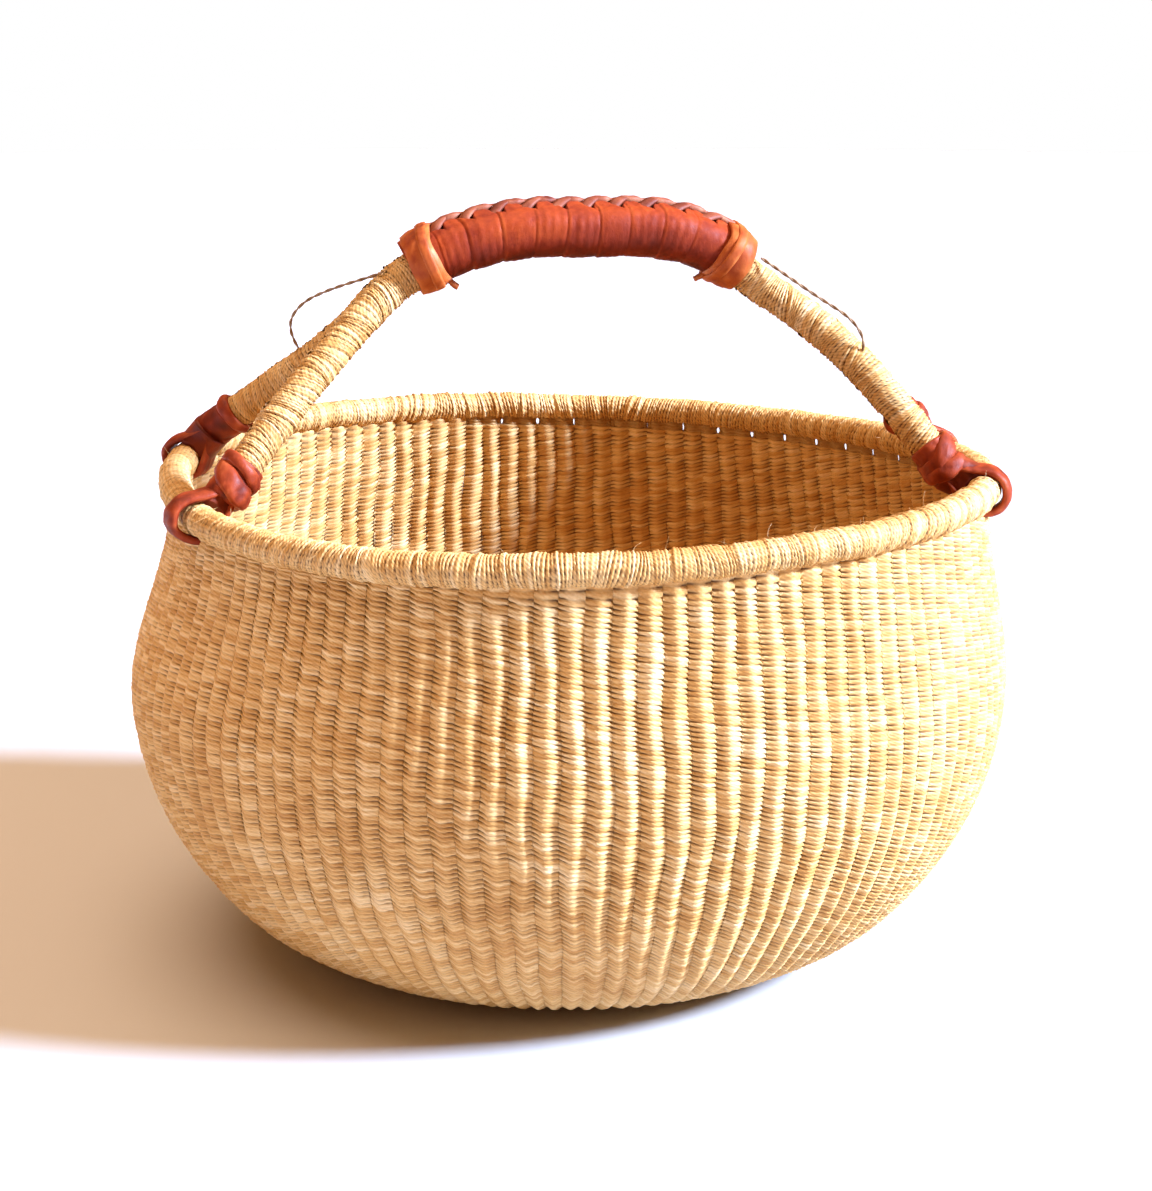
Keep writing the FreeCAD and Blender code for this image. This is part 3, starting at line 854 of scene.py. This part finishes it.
def make_grip_lacing():
    """The rolled lip along the grip's top and the thong that is laced over it."""
    middle, _, sideways, upward = grip_frames()
    place = np.linspace(0.0, GRIP_TOTAL, len(middle))
    keep = (place > 9.0) & (place < GRIP_TOTAL - 9.0)
    nearest = np.abs(place[:, None] - NOTCHES).min(1)
    swell = 0.55 + 0.45 * smooth_step(0.0, 4.5, nearest)
    top = GRIP_HALF_HEIGHT + 0.3
    drift = 1.2 + 0.7 * np.sin(place * TURN / STITCH_PITCH)
    line = middle + upward * (top + 0.5 * swell)[:, None] + sideways * drift[:, None]
    width, height = 6.4 * swell[keep], 3.6 * swell[keep]
    pieces = [band("lip", line[keep], upward[keep], width, height, 20, seed=5, rough=0.3)]
    for number, notch in enumerate(NOTCHES):
        share = np.linspace(0.0, 1.0, 26)
        along = notch - 2.6 + 11.0 * share
        side = -7.4 + 12.5 * share**1.1
        rise = top + 1.7 - 0.07 * (side - 0.8) ** 2
        spot = [np.interp(along, place, middle[:, k]) for k in range(3)]
        up = unit(np.stack([np.interp(along, place, upward[:, k]) for k in range(3)], 1))
        path = np.stack(spot, 1) + up * rise[:, None] + np.array([0.0, 1.0, 0.0]) * side[:, None]
        out = up + np.array([0.0, 1.0, 0.0]) * (side / 14.0)[:, None]
        width = 5.4 + 1.2 * np.sin(share * math.pi)
        pieces.append(band("thong", path, out, width, 1.5, 14, seed=50 + number, rough=0.2, curl=0.6))
    return joined("grip_lacing", pieces)


def make_collar(side):
    """A band round one end of the grip, with a small cut tail under it."""
    middle, tangent, _, upward = grip_frames()
    place = np.linspace(0.0, GRIP_TOTAL, len(middle))
    lean = 1.0 if side == "left" else -1.0
    centre = 6.6 if side == "left" else GRIP_TOTAL - 6.6
    angle = np.linspace(0.0, TURN, 120, endpoint=False)
    across, lift = oval(angle, GRIP_HALF_WIDTH + 1.15, GRIP_HALF_HEIGHT + 1.15, 2.5)
    index = int(np.argmin(np.abs(place - centre)))
    ahead, over = tangent[index], upward[index]
    slope = lean * (1.1 * np.cos(angle) + 0.8 * np.sin(2.0 * angle + 1.0))
    path = middle[index] + across[:, None] * np.array([0.0, 1.0, 0.0]) + lift[:, None] * over
    path = path + slope[:, None] * ahead
    out = unit(across[:, None] / 300.0 * np.array([0.0, 1.0, 0.0]) + lift[:, None] / 130.0 * over)
    width = 14.6 + 1.2 * np.sin(angle * 2.0 + lean) + 0.5 * np.sin(angle * 7.0)
    seed = int(lean)
    pieces = [band("collar", path, out, width, 2.5, 30, closed=True, seed=60 + seed, rough=0.42, curl=0.5)]
    turn = 0.25 * np.sin(angle * 3.0)
    fold = path + out * (1.3 + turn)[:, None] + ahead * (lean * 2.2 + 1.4 * np.cos(angle))[:, None]
    pieces.append(band("crease", fold, out, 5.0, 1.6, 14, closed=True, seed=70 + seed, rough=0.25))
    share = np.linspace(0.0, 1.0, 12)[:, None]
    foot = middle[index] - over * (GRIP_HALF_HEIGHT + 0.4) + ahead * lean * 5.2
    foot = foot + np.array([0.0, -4.0, 0.0])
    tail = foot - over * 5.0 * share + ahead * lean * (1.2 * share + 1.0 * share**2)
    out = -over * 0.2 + ahead * lean + share * over
    pieces.append(band("tail", tail, out, 7.0 - 1.5 * share[:, 0], 2.2, 12, seed=81, rough=0.5))
    return joined("collar_" + side, pieces)


# --- the limbs' ends: wrap length, and the tilted turns over it (from the end, tilt, roll, width) ---
END_WRAPS = {
    "front_left": (15.0, [(5.0, 26.0, 200.0, 9.0), (11.5, -16.0, 60.0, 6.0)]),
    "rear_left": (19.0, [(16.0, 10.0, 20.0, 5.5)]),
    "front_right": (15.0, [(8.0, -24.0, 150.0, 9.0), (2.5, 14.0, 40.0, 7.0)]),
    "rear_right": (14.0, [(7.5, 16.0, 110.0, 8.0)]),
}


def end_frame(name):
    """One limb's end: its tip, and the outward, sideways and upward directions there."""
    line = limb_line(name)
    along = unit(line[-1] - line[-30])
    sideways = unit(np.cross(along, (0.0, 0.0, 1.0)))
    return line[-1], along, sideways, np.cross(sideways, along)


def make_end_wrap(name, seed):
    """Leather closed over a limb's end and drawn tight by tilted turns."""
    length, turns = END_WRAPS[name]
    tip, along, sideways, upward = end_frame(name)
    angle = np.linspace(0.0, TURN, 56, endpoint=False)
    body = np.linspace(-length, 0.6, 30)
    dome = np.linspace(0.1, 1.0, 12)
    reach = np.concatenate([body, 0.6 + 3.6 * np.sin(dome * math.pi / 2.0)])
    radius = np.concatenate([np.full(30, 1.0), np.sqrt(np.clip(1.0 - (dome * 0.985) ** 2, 0.0, 1.0)) ** 0.7])
    size = (ARM_RADIUS + 0.9) * radius
    size[0] -= 0.7
    ring = ring_of(angle[None, :], sideways, upward)
    points = tip + reach[:, None, None] * along + size[:, None, None] * ring
    pleat = 0.55 * np.sin(angle[None, :] * 7.0 + reach[:, None] * 0.35 + seed)
    pleat = pleat * smooth_step(-6.0, 3.0, reach)[:, None]
    bump = wrinkle(points, seed, 0.5) + pleat * 0.6
    points = points + (bump * radius[:, None])[..., None] * ring
    # tone is lighter where the leather rises and darker in its pleats, painted highlight and shade, and the
    # dips get painted shade
    tone = 0.42 + 0.5 * bump
    depth = 0.45 * smooth_step(0.0, -0.8, bump)
    pieces = [grid_piece("wrap", points, around=True, caps=True, flip=True, tone=tone, depth=depth)]
    for number, (back, tilt, roll, width) in enumerate(turns):
        tilt, roll = math.radians(tilt), math.radians(roll)
        side = math.cos(roll) * sideways + math.sin(roll) * upward
        other = np.cross(along, side)
        lean = math.cos(tilt) * side + math.sin(tilt) * along
        size = ARM_RADIUS + 1.5
        turn = np.linspace(0.0, TURN, 72, endpoint=False)[:, None]
        leaning = np.cos(turn) * lean / math.cos(tilt) ** 0.6 + np.sin(turn) * other
        path = tip - along * back + size * leaning
        out = np.cos(turn) * side + np.sin(turn) * other
        breadth = width * (1.0 + 0.16 * np.sin(turn[:, 0] * 2.0 + number) + 0.07 * np.sin(turn[:, 0] * 5.0))
        pieces.append(band("turn", path, out, breadth, 2.3, 24, closed=True, seed=seed + 11 + number,
                           rough=0.5, curl=0.55))
    return joined("end_wrap_" + name, pieces)


# --- straps: width, looseness on the rim, bow and its direction, and how full the leather between is ---
STRAPS = {
    "front_left": (12.0, 0.6, 3.4, 0.1, 0.75),
    "rear_left": (19.0, 0.3, 1.5, 0.2, 1.0),
    "front_right": (14.0, 0.4, 1.6, -0.7, 1.0),
    "rear_right": (10.0, 0.5, 0.6, 0.3, 0.8),
}


def make_strap(name, seed):
    """A leather loop round the rim, drawn together at the limb's end, with the leather between its legs."""
    width, slack, bow, bow_turn, fill = STRAPS[name]
    tip, along, _, _ = end_frame(name)
    tip = tip - along * 1.5
    angle = math.atan2(tip[1], tip[0])
    outward = np.array([math.cos(angle), math.sin(angle), 0.0])
    sideways = np.array([-math.sin(angle), math.cos(angle), 0.0])
    up = np.array([0.0, 0.0, 1.0])
    lowered = float(rim_warp(np.array(angle), np.array(RIM_HEIGHT)))
    centre = outward * (RIM_RADIUS + float(rim_pull(angle))) + up * (RIM_HEIGHT + lowered)
    flat = np.array([(tip - centre) @ outward, (tip - centre) @ up])
    reach = float(np.linalg.norm(flat))
    towards = math.atan2(flat[1], flat[0])
    snug = RIM_TUBE + 0.75 + slack + 0.5 * LEATHER
    opening = math.acos(min(0.95, snug / reach))
    turn = np.linspace(towards - opening, towards - TURN + opening, 90)
    size = snug + bow * np.exp(-((np.angle(np.exp(1j * (turn - bow_turn)))) / 0.9) ** 2)
    ring = np.stack([size * np.cos(turn), size * np.sin(turn)], 1)
    share = np.linspace(0.0, 1.0, 24, endpoint=False)[:, None]
    square = np.array([-math.sin(towards), math.cos(towards)])
    first = (flat - square * 2.2) * (1.0 - share) + ring[:1] * share
    last = ring[-1:] * (1.0 - share) + (flat + square * 2.2) * share
    flat_path = even_points(np.vstack([first, ring, last[1:]]), 150)
    for _ in range(6):
        flat_path[1:-1] = 0.25 * flat_path[:-2] + 0.5 * flat_path[1:-1] + 0.25 * flat_path[2:]
    path = centre + flat_path[:, :1] * outward + flat_path[:, 1:] * up
    out = unit(flat_path)
    out = out[:, :1] * outward + out[:, 1:] * up
    along_path = np.linspace(0.0, 1.0, len(path))
    broad = width * (1.0 + 0.12 * np.cos(along_path * TURN) + 0.06 * np.sin(along_path * 23.0 + seed))
    pieces = [band("loop", path, out, broad, 3.8, 20, seed=seed, rough=0.35, curl=0.3)]
    pieces.append(strap_web(centre, flat, reach, (outward, sideways, up), width, snug, fill, seed))
    strap = joined("strap_" + name, pieces)
    start = centre + outward * flat[0] / reach * snug + up * flat[1] / reach * snug
    return strap, start * MM, tip * MM


def strap_web(centre, flat, reach, axes, width, snug, fill, seed):
    """The leather between a strap's legs, from the limb's end down onto the rim."""
    outward, sideways, up = axes
    ahead = flat / reach
    square = np.array([-ahead[1], ahead[0]])
    share = np.linspace(0.0, 1.0, 26)[:, None]
    angle = np.linspace(0.0, TURN, 40, endpoint=False)[None, :]
    start = 3.0 + 6.0 * fill**2
    legs = (start + (snug * 0.98 - start) * share**1.3) * (0.45 + 0.55 * fill)
    thick = width / 2.0 * (1.0 - 0.12 * np.sin(share * math.pi)) + 2.0 * fill * (1.0 - share)
    side, spread = oval(angle, thick, legs, 2.6)
    inside = np.sqrt(np.clip((snug - 0.7) ** 2 - spread**2, 9.0, None))
    distance = inside + (reach - inside) * (1.0 - share)
    flat_place = distance[..., None] * ahead + spread[..., None] * square
    points = centre + flat_place[..., :1] * outward + flat_place[..., 1:] * up + side[..., None] * sideways
    bump = wrinkle(points, seed + 4, 0.4)
    points = points + (bump * np.sign(side))[..., None] * sideways
    # tone lighter on rises and darker in dips, painted highlight and shade, and painted shade that deepens
    # towards the rim
    tone = 0.4 + 0.5 * bump
    return grid_piece("web", points, around=True, caps=True, tone=tone, depth=0.25 + 0.3 * share)


# --- stray fibres ---
def stray_fibres(name, roots, outs, seed):
    """Short thin curved fibres that stand off a wrapped bundle."""
    source = np.random.default_rng(seed)
    pieces = []
    share = np.linspace(0.0, 1.0, 7)[:, None]
    around = np.linspace(0.0, TURN, 3, endpoint=False)
    for root, out in zip(roots, outs):
        length = source.uniform(2.5, 7.5)
        lean = unit(out * source.uniform(0.25, 1.0) + source.normal(size=3) * 0.7)
        bend = source.normal(size=3) * 0.5
        line = root - out * 0.6 + lean * length * share + bend * length * share**2
        _, across, over = frames_along(line, source.normal(size=3))
        radius = (0.13 * (1.0 - 0.6 * share))[:, None]
        ring = ring_of(around[None, :], across[:, None], over[:, None])
        tone = np.full((len(line), 3), source.uniform(0.4, 1.0))
        pieces.append(grid_piece("fibre", line[:, None] + radius * ring, around=True, caps=True, tone=tone))
    return joined(name, pieces)


def rim_fibres():
    """Stray fibres round the rim."""
    source = np.random.default_rng(91)
    theta = source.uniform(0.0, TURN, 150)
    around = source.uniform(-0.4, math.pi + 0.2, 150)
    out = np.stack([np.cos(theta) * np.cos(around), np.sin(theta) * np.cos(around), np.sin(around)], 1)
    reach = RIM_RADIUS + rim_pull(theta)
    root = polar(reach, theta, np.full(150, RIM_HEIGHT))
    root[:, 2] += rim_warp(theta, root[:, 2])
    return stray_fibres("rim_fibres", root + out * RIM_TUBE, out, 92)


def limb_fibres():
    """Stray fibres along the four limbs."""
    roots, outs = [], []
    source = np.random.default_rng(95)
    for name in LIMBS:
        line = limb_line(name)
        _, sideways, upward = frames_along(line, (0.0, 1.0, 0.0))
        for index in source.integers(380, 830, 32):
            turn = source.uniform(0.0, TURN)
            out = math.cos(turn) * sideways[index] + math.sin(turn) * upward[index]
            roots.append(line[index] + out * ARM_RADIUS)
            outs.append(out)
    return stray_fibres("limb_fibres", roots, outs, 96)


# --- materials ---
class Nodes:
    """A small helper that adds shader nodes and links them."""

    def __init__(self, name):
        self.material = bpy.data.materials.new(name)
        self.material.use_nodes = True
        self.tree = self.material.node_tree
        self.shader = self.tree.nodes["Principled BSDF"]

    def add(self, kind, inputs=None, **settings):
        """A node with its settings and its input values or links."""
        node = self.tree.nodes.new(kind)
        for key, value in settings.items():
            setattr(node, key, value)
        for key, value in (inputs or {}).items():
            self.put(node.inputs[key], value)
        return node

    def put(self, socket, value):
        """A link or a plain value on an input."""
        if isinstance(value, bpy.types.NodeSocket):
            self.tree.links.new(value, socket)
        else:
            socket.default_value = value

    def value(self, name):
        """A mesh attribute's number."""
        return self.add("ShaderNodeAttribute", attribute_name=name).outputs["Fac"]

    def vector(self, name):
        """A mesh attribute's vector."""
        return self.add("ShaderNodeAttribute", attribute_name=name).outputs["Vector"]

    def place(self):
        """The place on the object, in metres."""
        return self.add("ShaderNodeTexCoord").outputs["Object"]

    def math(self, operation, first, second=0.0, third=0.0, clamp=False):
        """A sum on numbers."""
        node = self.add("ShaderNodeMath", operation=operation, use_clamp=clamp)
        for socket, value in zip(node.inputs, (first, second, third)):
            self.put(socket, value)
        return node.outputs[0]

    def varied(self, value, noise, size, clamp=False):
        """A value raised and lowered by noise."""
        return self.math("MULTIPLY_ADD", self.math("SUBTRACT", noise, 0.5), size, value, clamp)

    def surface(self, colour, rough, **inputs):
        """The shader's colour, roughness and other inputs."""
        inputs = {"Base Color": colour, "Roughness": rough, **inputs}
        for key, value in inputs.items():
            self.put(self.shader.inputs[key.replace("_", " ")], value)
        return self.material

    def noise(self, vector, scale, detail=3.0, rough=0.55):
        """Smooth noise, about 0.5 on average."""
        inputs = {"Vector": vector, "Scale": scale, "Detail": detail, "Roughness": rough}
        return self.add("ShaderNodeTexNoise", inputs).outputs[0]

    def stretched(self, vector, scale):
        """A vector scaled by axis."""
        node = self.add("ShaderNodeVectorMath", operation="MULTIPLY")
        self.put(node.inputs[0], vector)
        node.inputs[1].default_value = scale
        return node.outputs[0]

    def ramp(self, value, stops):
        """Colours by value."""
        node = self.add("ShaderNodeValToRGB", {"Fac": value})
        elements = node.color_ramp.elements
        elements[0].position, elements[0].color = stops[0][0], (*stops[0][1], 1.0)
        elements[1].position, elements[1].color = stops[-1][0], (*stops[-1][1], 1.0)
        for position, colour in stops[1:-1]:
            elements.new(position).color = (*colour, 1.0)
        return node.outputs[0]

    def mix(self, share, first, second, kind="MIX"):
        """Two colours mixed."""
        node = self.add("ShaderNodeMix", data_type="RGBA", blend_type=kind)
        for socket, value in ((node.inputs[0], share), (node.inputs[6], first), (node.inputs[7], second)):
            self.put(socket, value if not isinstance(value, tuple) else (*value, 1.0))
        return node.outputs[2]

    def bump(self, height, distance, strength=1.0, under=None):
        """A bump normal from a height, on top of another where given."""
        inputs = {"Height": height, "Distance": distance, "Strength": strength}
        if under is not None:
            inputs["Normal"] = under
        return self.add("ShaderNodeBump", inputs).outputs[0]


STRAW = [
    (0.0, (0.32, 0.112, 0.020)),
    (0.3, (0.50, 0.228, 0.050)),
    (0.55, (0.64, 0.345, 0.100)),
    (0.8, (0.76, 0.48, 0.19)),
    (1.0, (0.85, 0.62, 0.33)),
]


def straw_material(name, groove_shade, twist, between, lightness):
    """Dry grass: streaks along each strand, tone by strand, painted shade between strands, and a twisted
    grain with painted shade in its grooves.
    """
    nodes = Nodes(name)
    strand = nodes.vector("strand")
    streak = nodes.noise(nodes.stretched(strand, (0.22, 2.6, 3.1)), 1.0, 4.0, 0.6)
    blotch = nodes.noise(nodes.place(), 34.0, 3.0)
    speck = nodes.noise(nodes.stretched(strand, (0.9, 1.9, 5.0)), 1.3, 2.0)
    tone = nodes.math("MULTIPLY_ADD", nodes.value("tone"), 0.42, lightness)
    tone = nodes.varied(nodes.varied(tone, streak, 0.55), blotch, 0.55)
    tone = nodes.varied(tone, speck, 0.35, clamp=True)
    colour = nodes.ramp(tone, STRAW)
    wave = nodes.add("ShaderNodeTexWave", {
        "Vector": nodes.stretched(strand, twist), "Scale": 0.6283, "Distortion": 2.2, "Detail": 1.0,
        "Detail Scale": 1.1,
    }, wave_type="BANDS", bands_direction="DIAGONAL")
    # painted shade in the grooves of the twisted grain, added to the painted shade marked on the mesh, mixed
    # towards dark brown
    ply = nodes.math("POWER", nodes.math("SUBTRACT", 1.0, wave.outputs["Fac"]), 3.0)
    shade = nodes.math("MULTIPLY", nodes.math("POWER", nodes.value("depth"), 1.7), groove_shade)
    shade = nodes.math("MULTIPLY_ADD", ply, between, shade, clamp=True)
    colour = nodes.mix(shade, colour, (0.10, 0.042, 0.012))
    rough = nodes.math("MULTIPLY_ADD", streak, 0.3, 0.42)
    normal = nodes.bump(streak, 0.0001, 0.6)
    normal = nodes.bump(wave.outputs["Fac"], 0.0001, 0.7, normal)
    return nodes.surface(colour, rough, Normal=normal, Specular_IOR_Level=0.35)


LEATHER_STOPS = (0.0, 0.35, 0.6, 0.82, 1.0)
LEATHER_COLOURS = {
    "grip_leather": [
        (0.09, 0.008, 0.002), (0.22, 0.021, 0.004), (0.34, 0.043, 0.006),
        (0.45, 0.08, 0.014), (0.58, 0.17, 0.05),
    ],
    "collar_leather": [
        (0.16, 0.018, 0.005), (0.32, 0.05, 0.01), (0.46, 0.098, 0.018),
        (0.57, 0.16, 0.038), (0.7, 0.28, 0.11),
    ],
    "dark_leather": [
        (0.06, 0.006, 0.003), (0.17, 0.018, 0.005), (0.3, 0.04, 0.009),
        (0.43, 0.085, 0.022), (0.58, 0.18, 0.07),
    ],
    "thong_leather": [
        (0.07, 0.01, 0.005), (0.15, 0.026, 0.012), (0.24, 0.056, 0.025),
        (0.33, 0.1, 0.05), (0.46, 0.2, 0.11),
    ],
}


def leather_material(name, gloss=0.42):
    """Soft dyed leather: blotched dye, fine grain, creases, worn pale edges, and painted shade where the mesh
    marks it.
    """
    nodes = Nodes(name)
    place = nodes.place()
    blotch = nodes.noise(place, 60.0, 4.0, 0.6)
    fine = nodes.noise(place, 420.0, 3.0, 0.6)
    grain = nodes.add("ShaderNodeTexVoronoi", {"Vector": place, "Scale": 900.0}, feature="DISTANCE_TO_EDGE")
    crease = nodes.noise(nodes.stretched(place, (240.0, 240.0, 70.0)), 1.0, 5.0, 0.65)
    # the mesh's tone carries painted highlight on rises and painted shade in dips and underneath, besides
    # tone that varies at random
    tone = nodes.math("MULTIPLY_ADD", nodes.value("tone"), 0.75, 0.13)
    tone = nodes.varied(nodes.varied(tone, blotch, 0.85), crease, 0.35)
    tone = nodes.varied(tone, fine, 0.25, clamp=True)
    colour = nodes.ramp(tone, list(zip(LEATHER_STOPS, LEATHER_COLOURS[name])))
    # painted shade from the mesh, mixed towards near black
    shade = nodes.math("MULTIPLY", nodes.value("depth"), 0.85, clamp=True)
    colour = nodes.mix(shade, colour, (0.03, 0.006, 0.005))
    rough = nodes.varied(nodes.math("MULTIPLY_ADD", fine, 0.35, gloss), blotch, -0.3)
    edge = nodes.math("MINIMUM", grain.outputs["Distance"], 0.12)
    normal = nodes.bump(crease, 0.0006, 0.6)
    normal = nodes.bump(edge, 0.0004, 0.3, normal)
    normal = nodes.bump(fine, 0.0002, 0.4, normal)
    return nodes.surface(colour, rough, Normal=normal, Specular_IOR_Level=0.22)


def cord_material():
    """Twisted grass cord, greyer than the wraps."""
    nodes = Nodes("twisted_cord")
    place = nodes.place()
    fine = nodes.noise(place, 900.0, 3.0)
    blotch = nodes.noise(place, 160.0, 3.0)
    half = nodes.math("MULTIPLY", blotch, 0.5)
    tone = nodes.math("MULTIPLY_ADD", nodes.value("tone"), 0.5, half, clamp=True)
    colour = nodes.ramp(tone, [
        (0.0, (0.13, 0.07, 0.03)), (0.5, (0.30, 0.185, 0.095)), (1.0, (0.52, 0.38, 0.23)),
    ])
    rough = nodes.math("MULTIPLY_ADD", fine, 0.3, 0.5)
    return nodes.surface(colour, rough, Normal=nodes.bump(fine, 0.0003, 0.6))


def floor_material():
    """A pale, slightly uneven floor, painted paler towards the left, which lightens the shadow there: painted
    light.
    """
    nodes = Nodes("pale_floor")
    cloud = nodes.noise(nodes.place(), 3.0, 3.0)
    # painted light: the floor's colour grows paler towards the left, where the basket's shadow falls
    across = nodes.add("ShaderNodeSeparateXYZ", {"Vector": nodes.place()}).outputs["X"]
    across = nodes.math("MULTIPLY_ADD", across, -1.2, 0.3, clamp=True)
    across = nodes.math("MULTIPLY_ADD", cloud, 0.05, across)
    colour = nodes.ramp(across, [(0.0, (0.45, 0.448, 0.445)), (1.0, (0.70, 0.705, 0.71))])
    return nodes.surface(colour, nodes.math("MULTIPLY_ADD", cloud, 0.2, 0.6))


WEAVE = straw_material("grass_weave", 0.98, (0.32, 0.8, 0.0), 0.10, 0.44)
WRAP = straw_material("grass_wrap", 0.80, (0.5, 0.62, 0.0), 0.34, 0.46)
GRIP_LEATHER = leather_material("grip_leather")
COLLAR_LEATHER = leather_material("collar_leather", 0.34)
DARK_LEATHER = leather_material("dark_leather", 0.36)
THONG_LEATHER = leather_material("thong_leather", 0.4)
CORD_STRAW = cord_material()


# --- floor and light ---
FLOOR_SIZE = 6.0
# name, direction towards the light, strength, width in degrees, colour
LIGHTS = [
    ("window", (0.81, -0.27, 0.51), 17.0, 12.0, (0.58, 0.72, 1.0)),
    ("overhead", (-0.15, 0.05, 0.98), 2.2, 50.0, (1.0, 0.76, 0.56)),
]
SKY_COLOUR = (1.0, 0.52, 0.22)
SKY_STRENGTH = 0.48


def make_floor():
    """A pale round floor, painted paler at the left, where the shadow falls, to lighten the shadow."""
    reach = np.linspace(0.0, FLOOR_SIZE, 30)[:, None]
    angle = np.linspace(0.0, TURN, 96, endpoint=False)[None, :]
    points = polar(reach, angle, np.zeros_like(reach * angle))
    floor = grid_piece("floor", points / MM, around=True)
    floor.location.z = -0.0006
    floor.data.materials.append(floor_material())


def make_screen():
    """A white dome behind everything, which only shows and gives no light."""
    rise = np.linspace(-0.02, 0.5 * math.pi, 24)[:, None]
    angle = np.linspace(0.0, TURN, 96, endpoint=False)[None, :]
    size = FLOOR_SIZE * 0.99
    points = size * polar(np.cos(rise), angle, np.sin(rise) * np.ones_like(angle))
    screen = grid_piece("screen", points / MM, around=True)
    nodes = Nodes("white_screen")
    white = (1.0, 1.0, 1.0, 1.0)
    screen.data.materials.append(nodes.surface(
        (0.0, 0.0, 0.0, 1.0), 0.5, Specular_IOR_Level=0.0, Emission_Color=white, Emission_Strength=1.0,
    ))
    for kind in ("diffuse", "glossy", "transmission", "shadow"):
        setattr(screen, "visible_" + kind, False)


def make_light():
    """A strong light from the right, a soft warm one overhead and an even warm sky."""
    for name, direction, strength, softness, colour in LIGHTS:
        data = bpy.data.lights.new(name, "SUN")
        data.energy = strength
        data.angle = math.radians(softness)
        data.color = colour
        lamp = bpy.data.objects.new(name, data)
        lamp.rotation_euler = Vector(direction).to_track_quat("Z", "Y").to_euler()
        bpy.context.collection.objects.link(lamp)
    world = bpy.data.worlds.new("sky")
    world.use_nodes = True
    background = world.node_tree.nodes["Background"]
    background.inputs["Color"].default_value = (*SKY_COLOUR, 1.0)
    background.inputs["Strength"].default_value = SKY_STRENGTH
    bpy.context.scene.world = world
    bpy.context.scene.view_settings.view_transform = "Standard"


# --- putting it together ---
def build_body():
    """The base, the wall, the lashings and the rim."""
    base = joined("woven_base", [base_piece("base_under", False), base_piece("base_floor", True)])
    finish_piece(base, "basket", WEAVE, ["woven_base"])
    skins = make_skins()
    for skin in skins:
        finish_piece(skin, "basket", WEAVE, ["woven_wall"])
    lashings = [lashing_piece(index, *span) for index, span in enumerate(lashing_spans())]
    finish_piece(joined("lashings", lashings), "basket", WEAVE, [])
    for piece in wrapped_rim():
        finish_piece(piece, "basket", WRAP, ["rim_wrap", "rim_core"])
    finish_piece(rim_fibres(), "basket", WRAP, [])


def build_handle():
    """The limbs, the grip, its collars and lacing, the limbs' end wraps and the tie cords."""
    for seed, name in enumerate(LIMBS):
        limb = wrapped_limb(name, 100 + seed)
        core = "arm_core_" + name.split("_")[0]
        finish_piece(limb, "handle", WRAP, ["arm_wrap_" + name, core])
        wrap = make_end_wrap(name, 200 + 10 * seed)
        finish_piece(wrap, "handle", DARK_LEATHER, ["end_wrap_" + name])
    finish_piece(limb_fibres(), "handle", WRAP, [])
    finish_piece(make_grip_cover(), "handle", GRIP_LEATHER, ["grip_cover"])
    finish_piece(make_grip_lacing(), "handle", THONG_LEATHER, ["grip_lacing"])
    for side in ("left", "right"):
        finish_piece(make_collar(side), "handle", COLLAR_LEATHER, ["collar_" + side])
        cord, line = CORDS[side]
        finish_piece(cord, "handle", CORD_STRAW, ["tie_cord_" + side])


def build_straps():
    """The four straps between the basket and the handle."""
    for seed, name in enumerate(LIMBS):
        strap, start, end = make_strap(name, 300 + 10 * seed)
        strap.data.materials.clear()
        strap.data.materials.append(DARK_LEATHER)
        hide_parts("strap_" + name)
        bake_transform(strap)


build_body()
build_handle()
build_straps()
make_floor()
make_screen()
make_light()
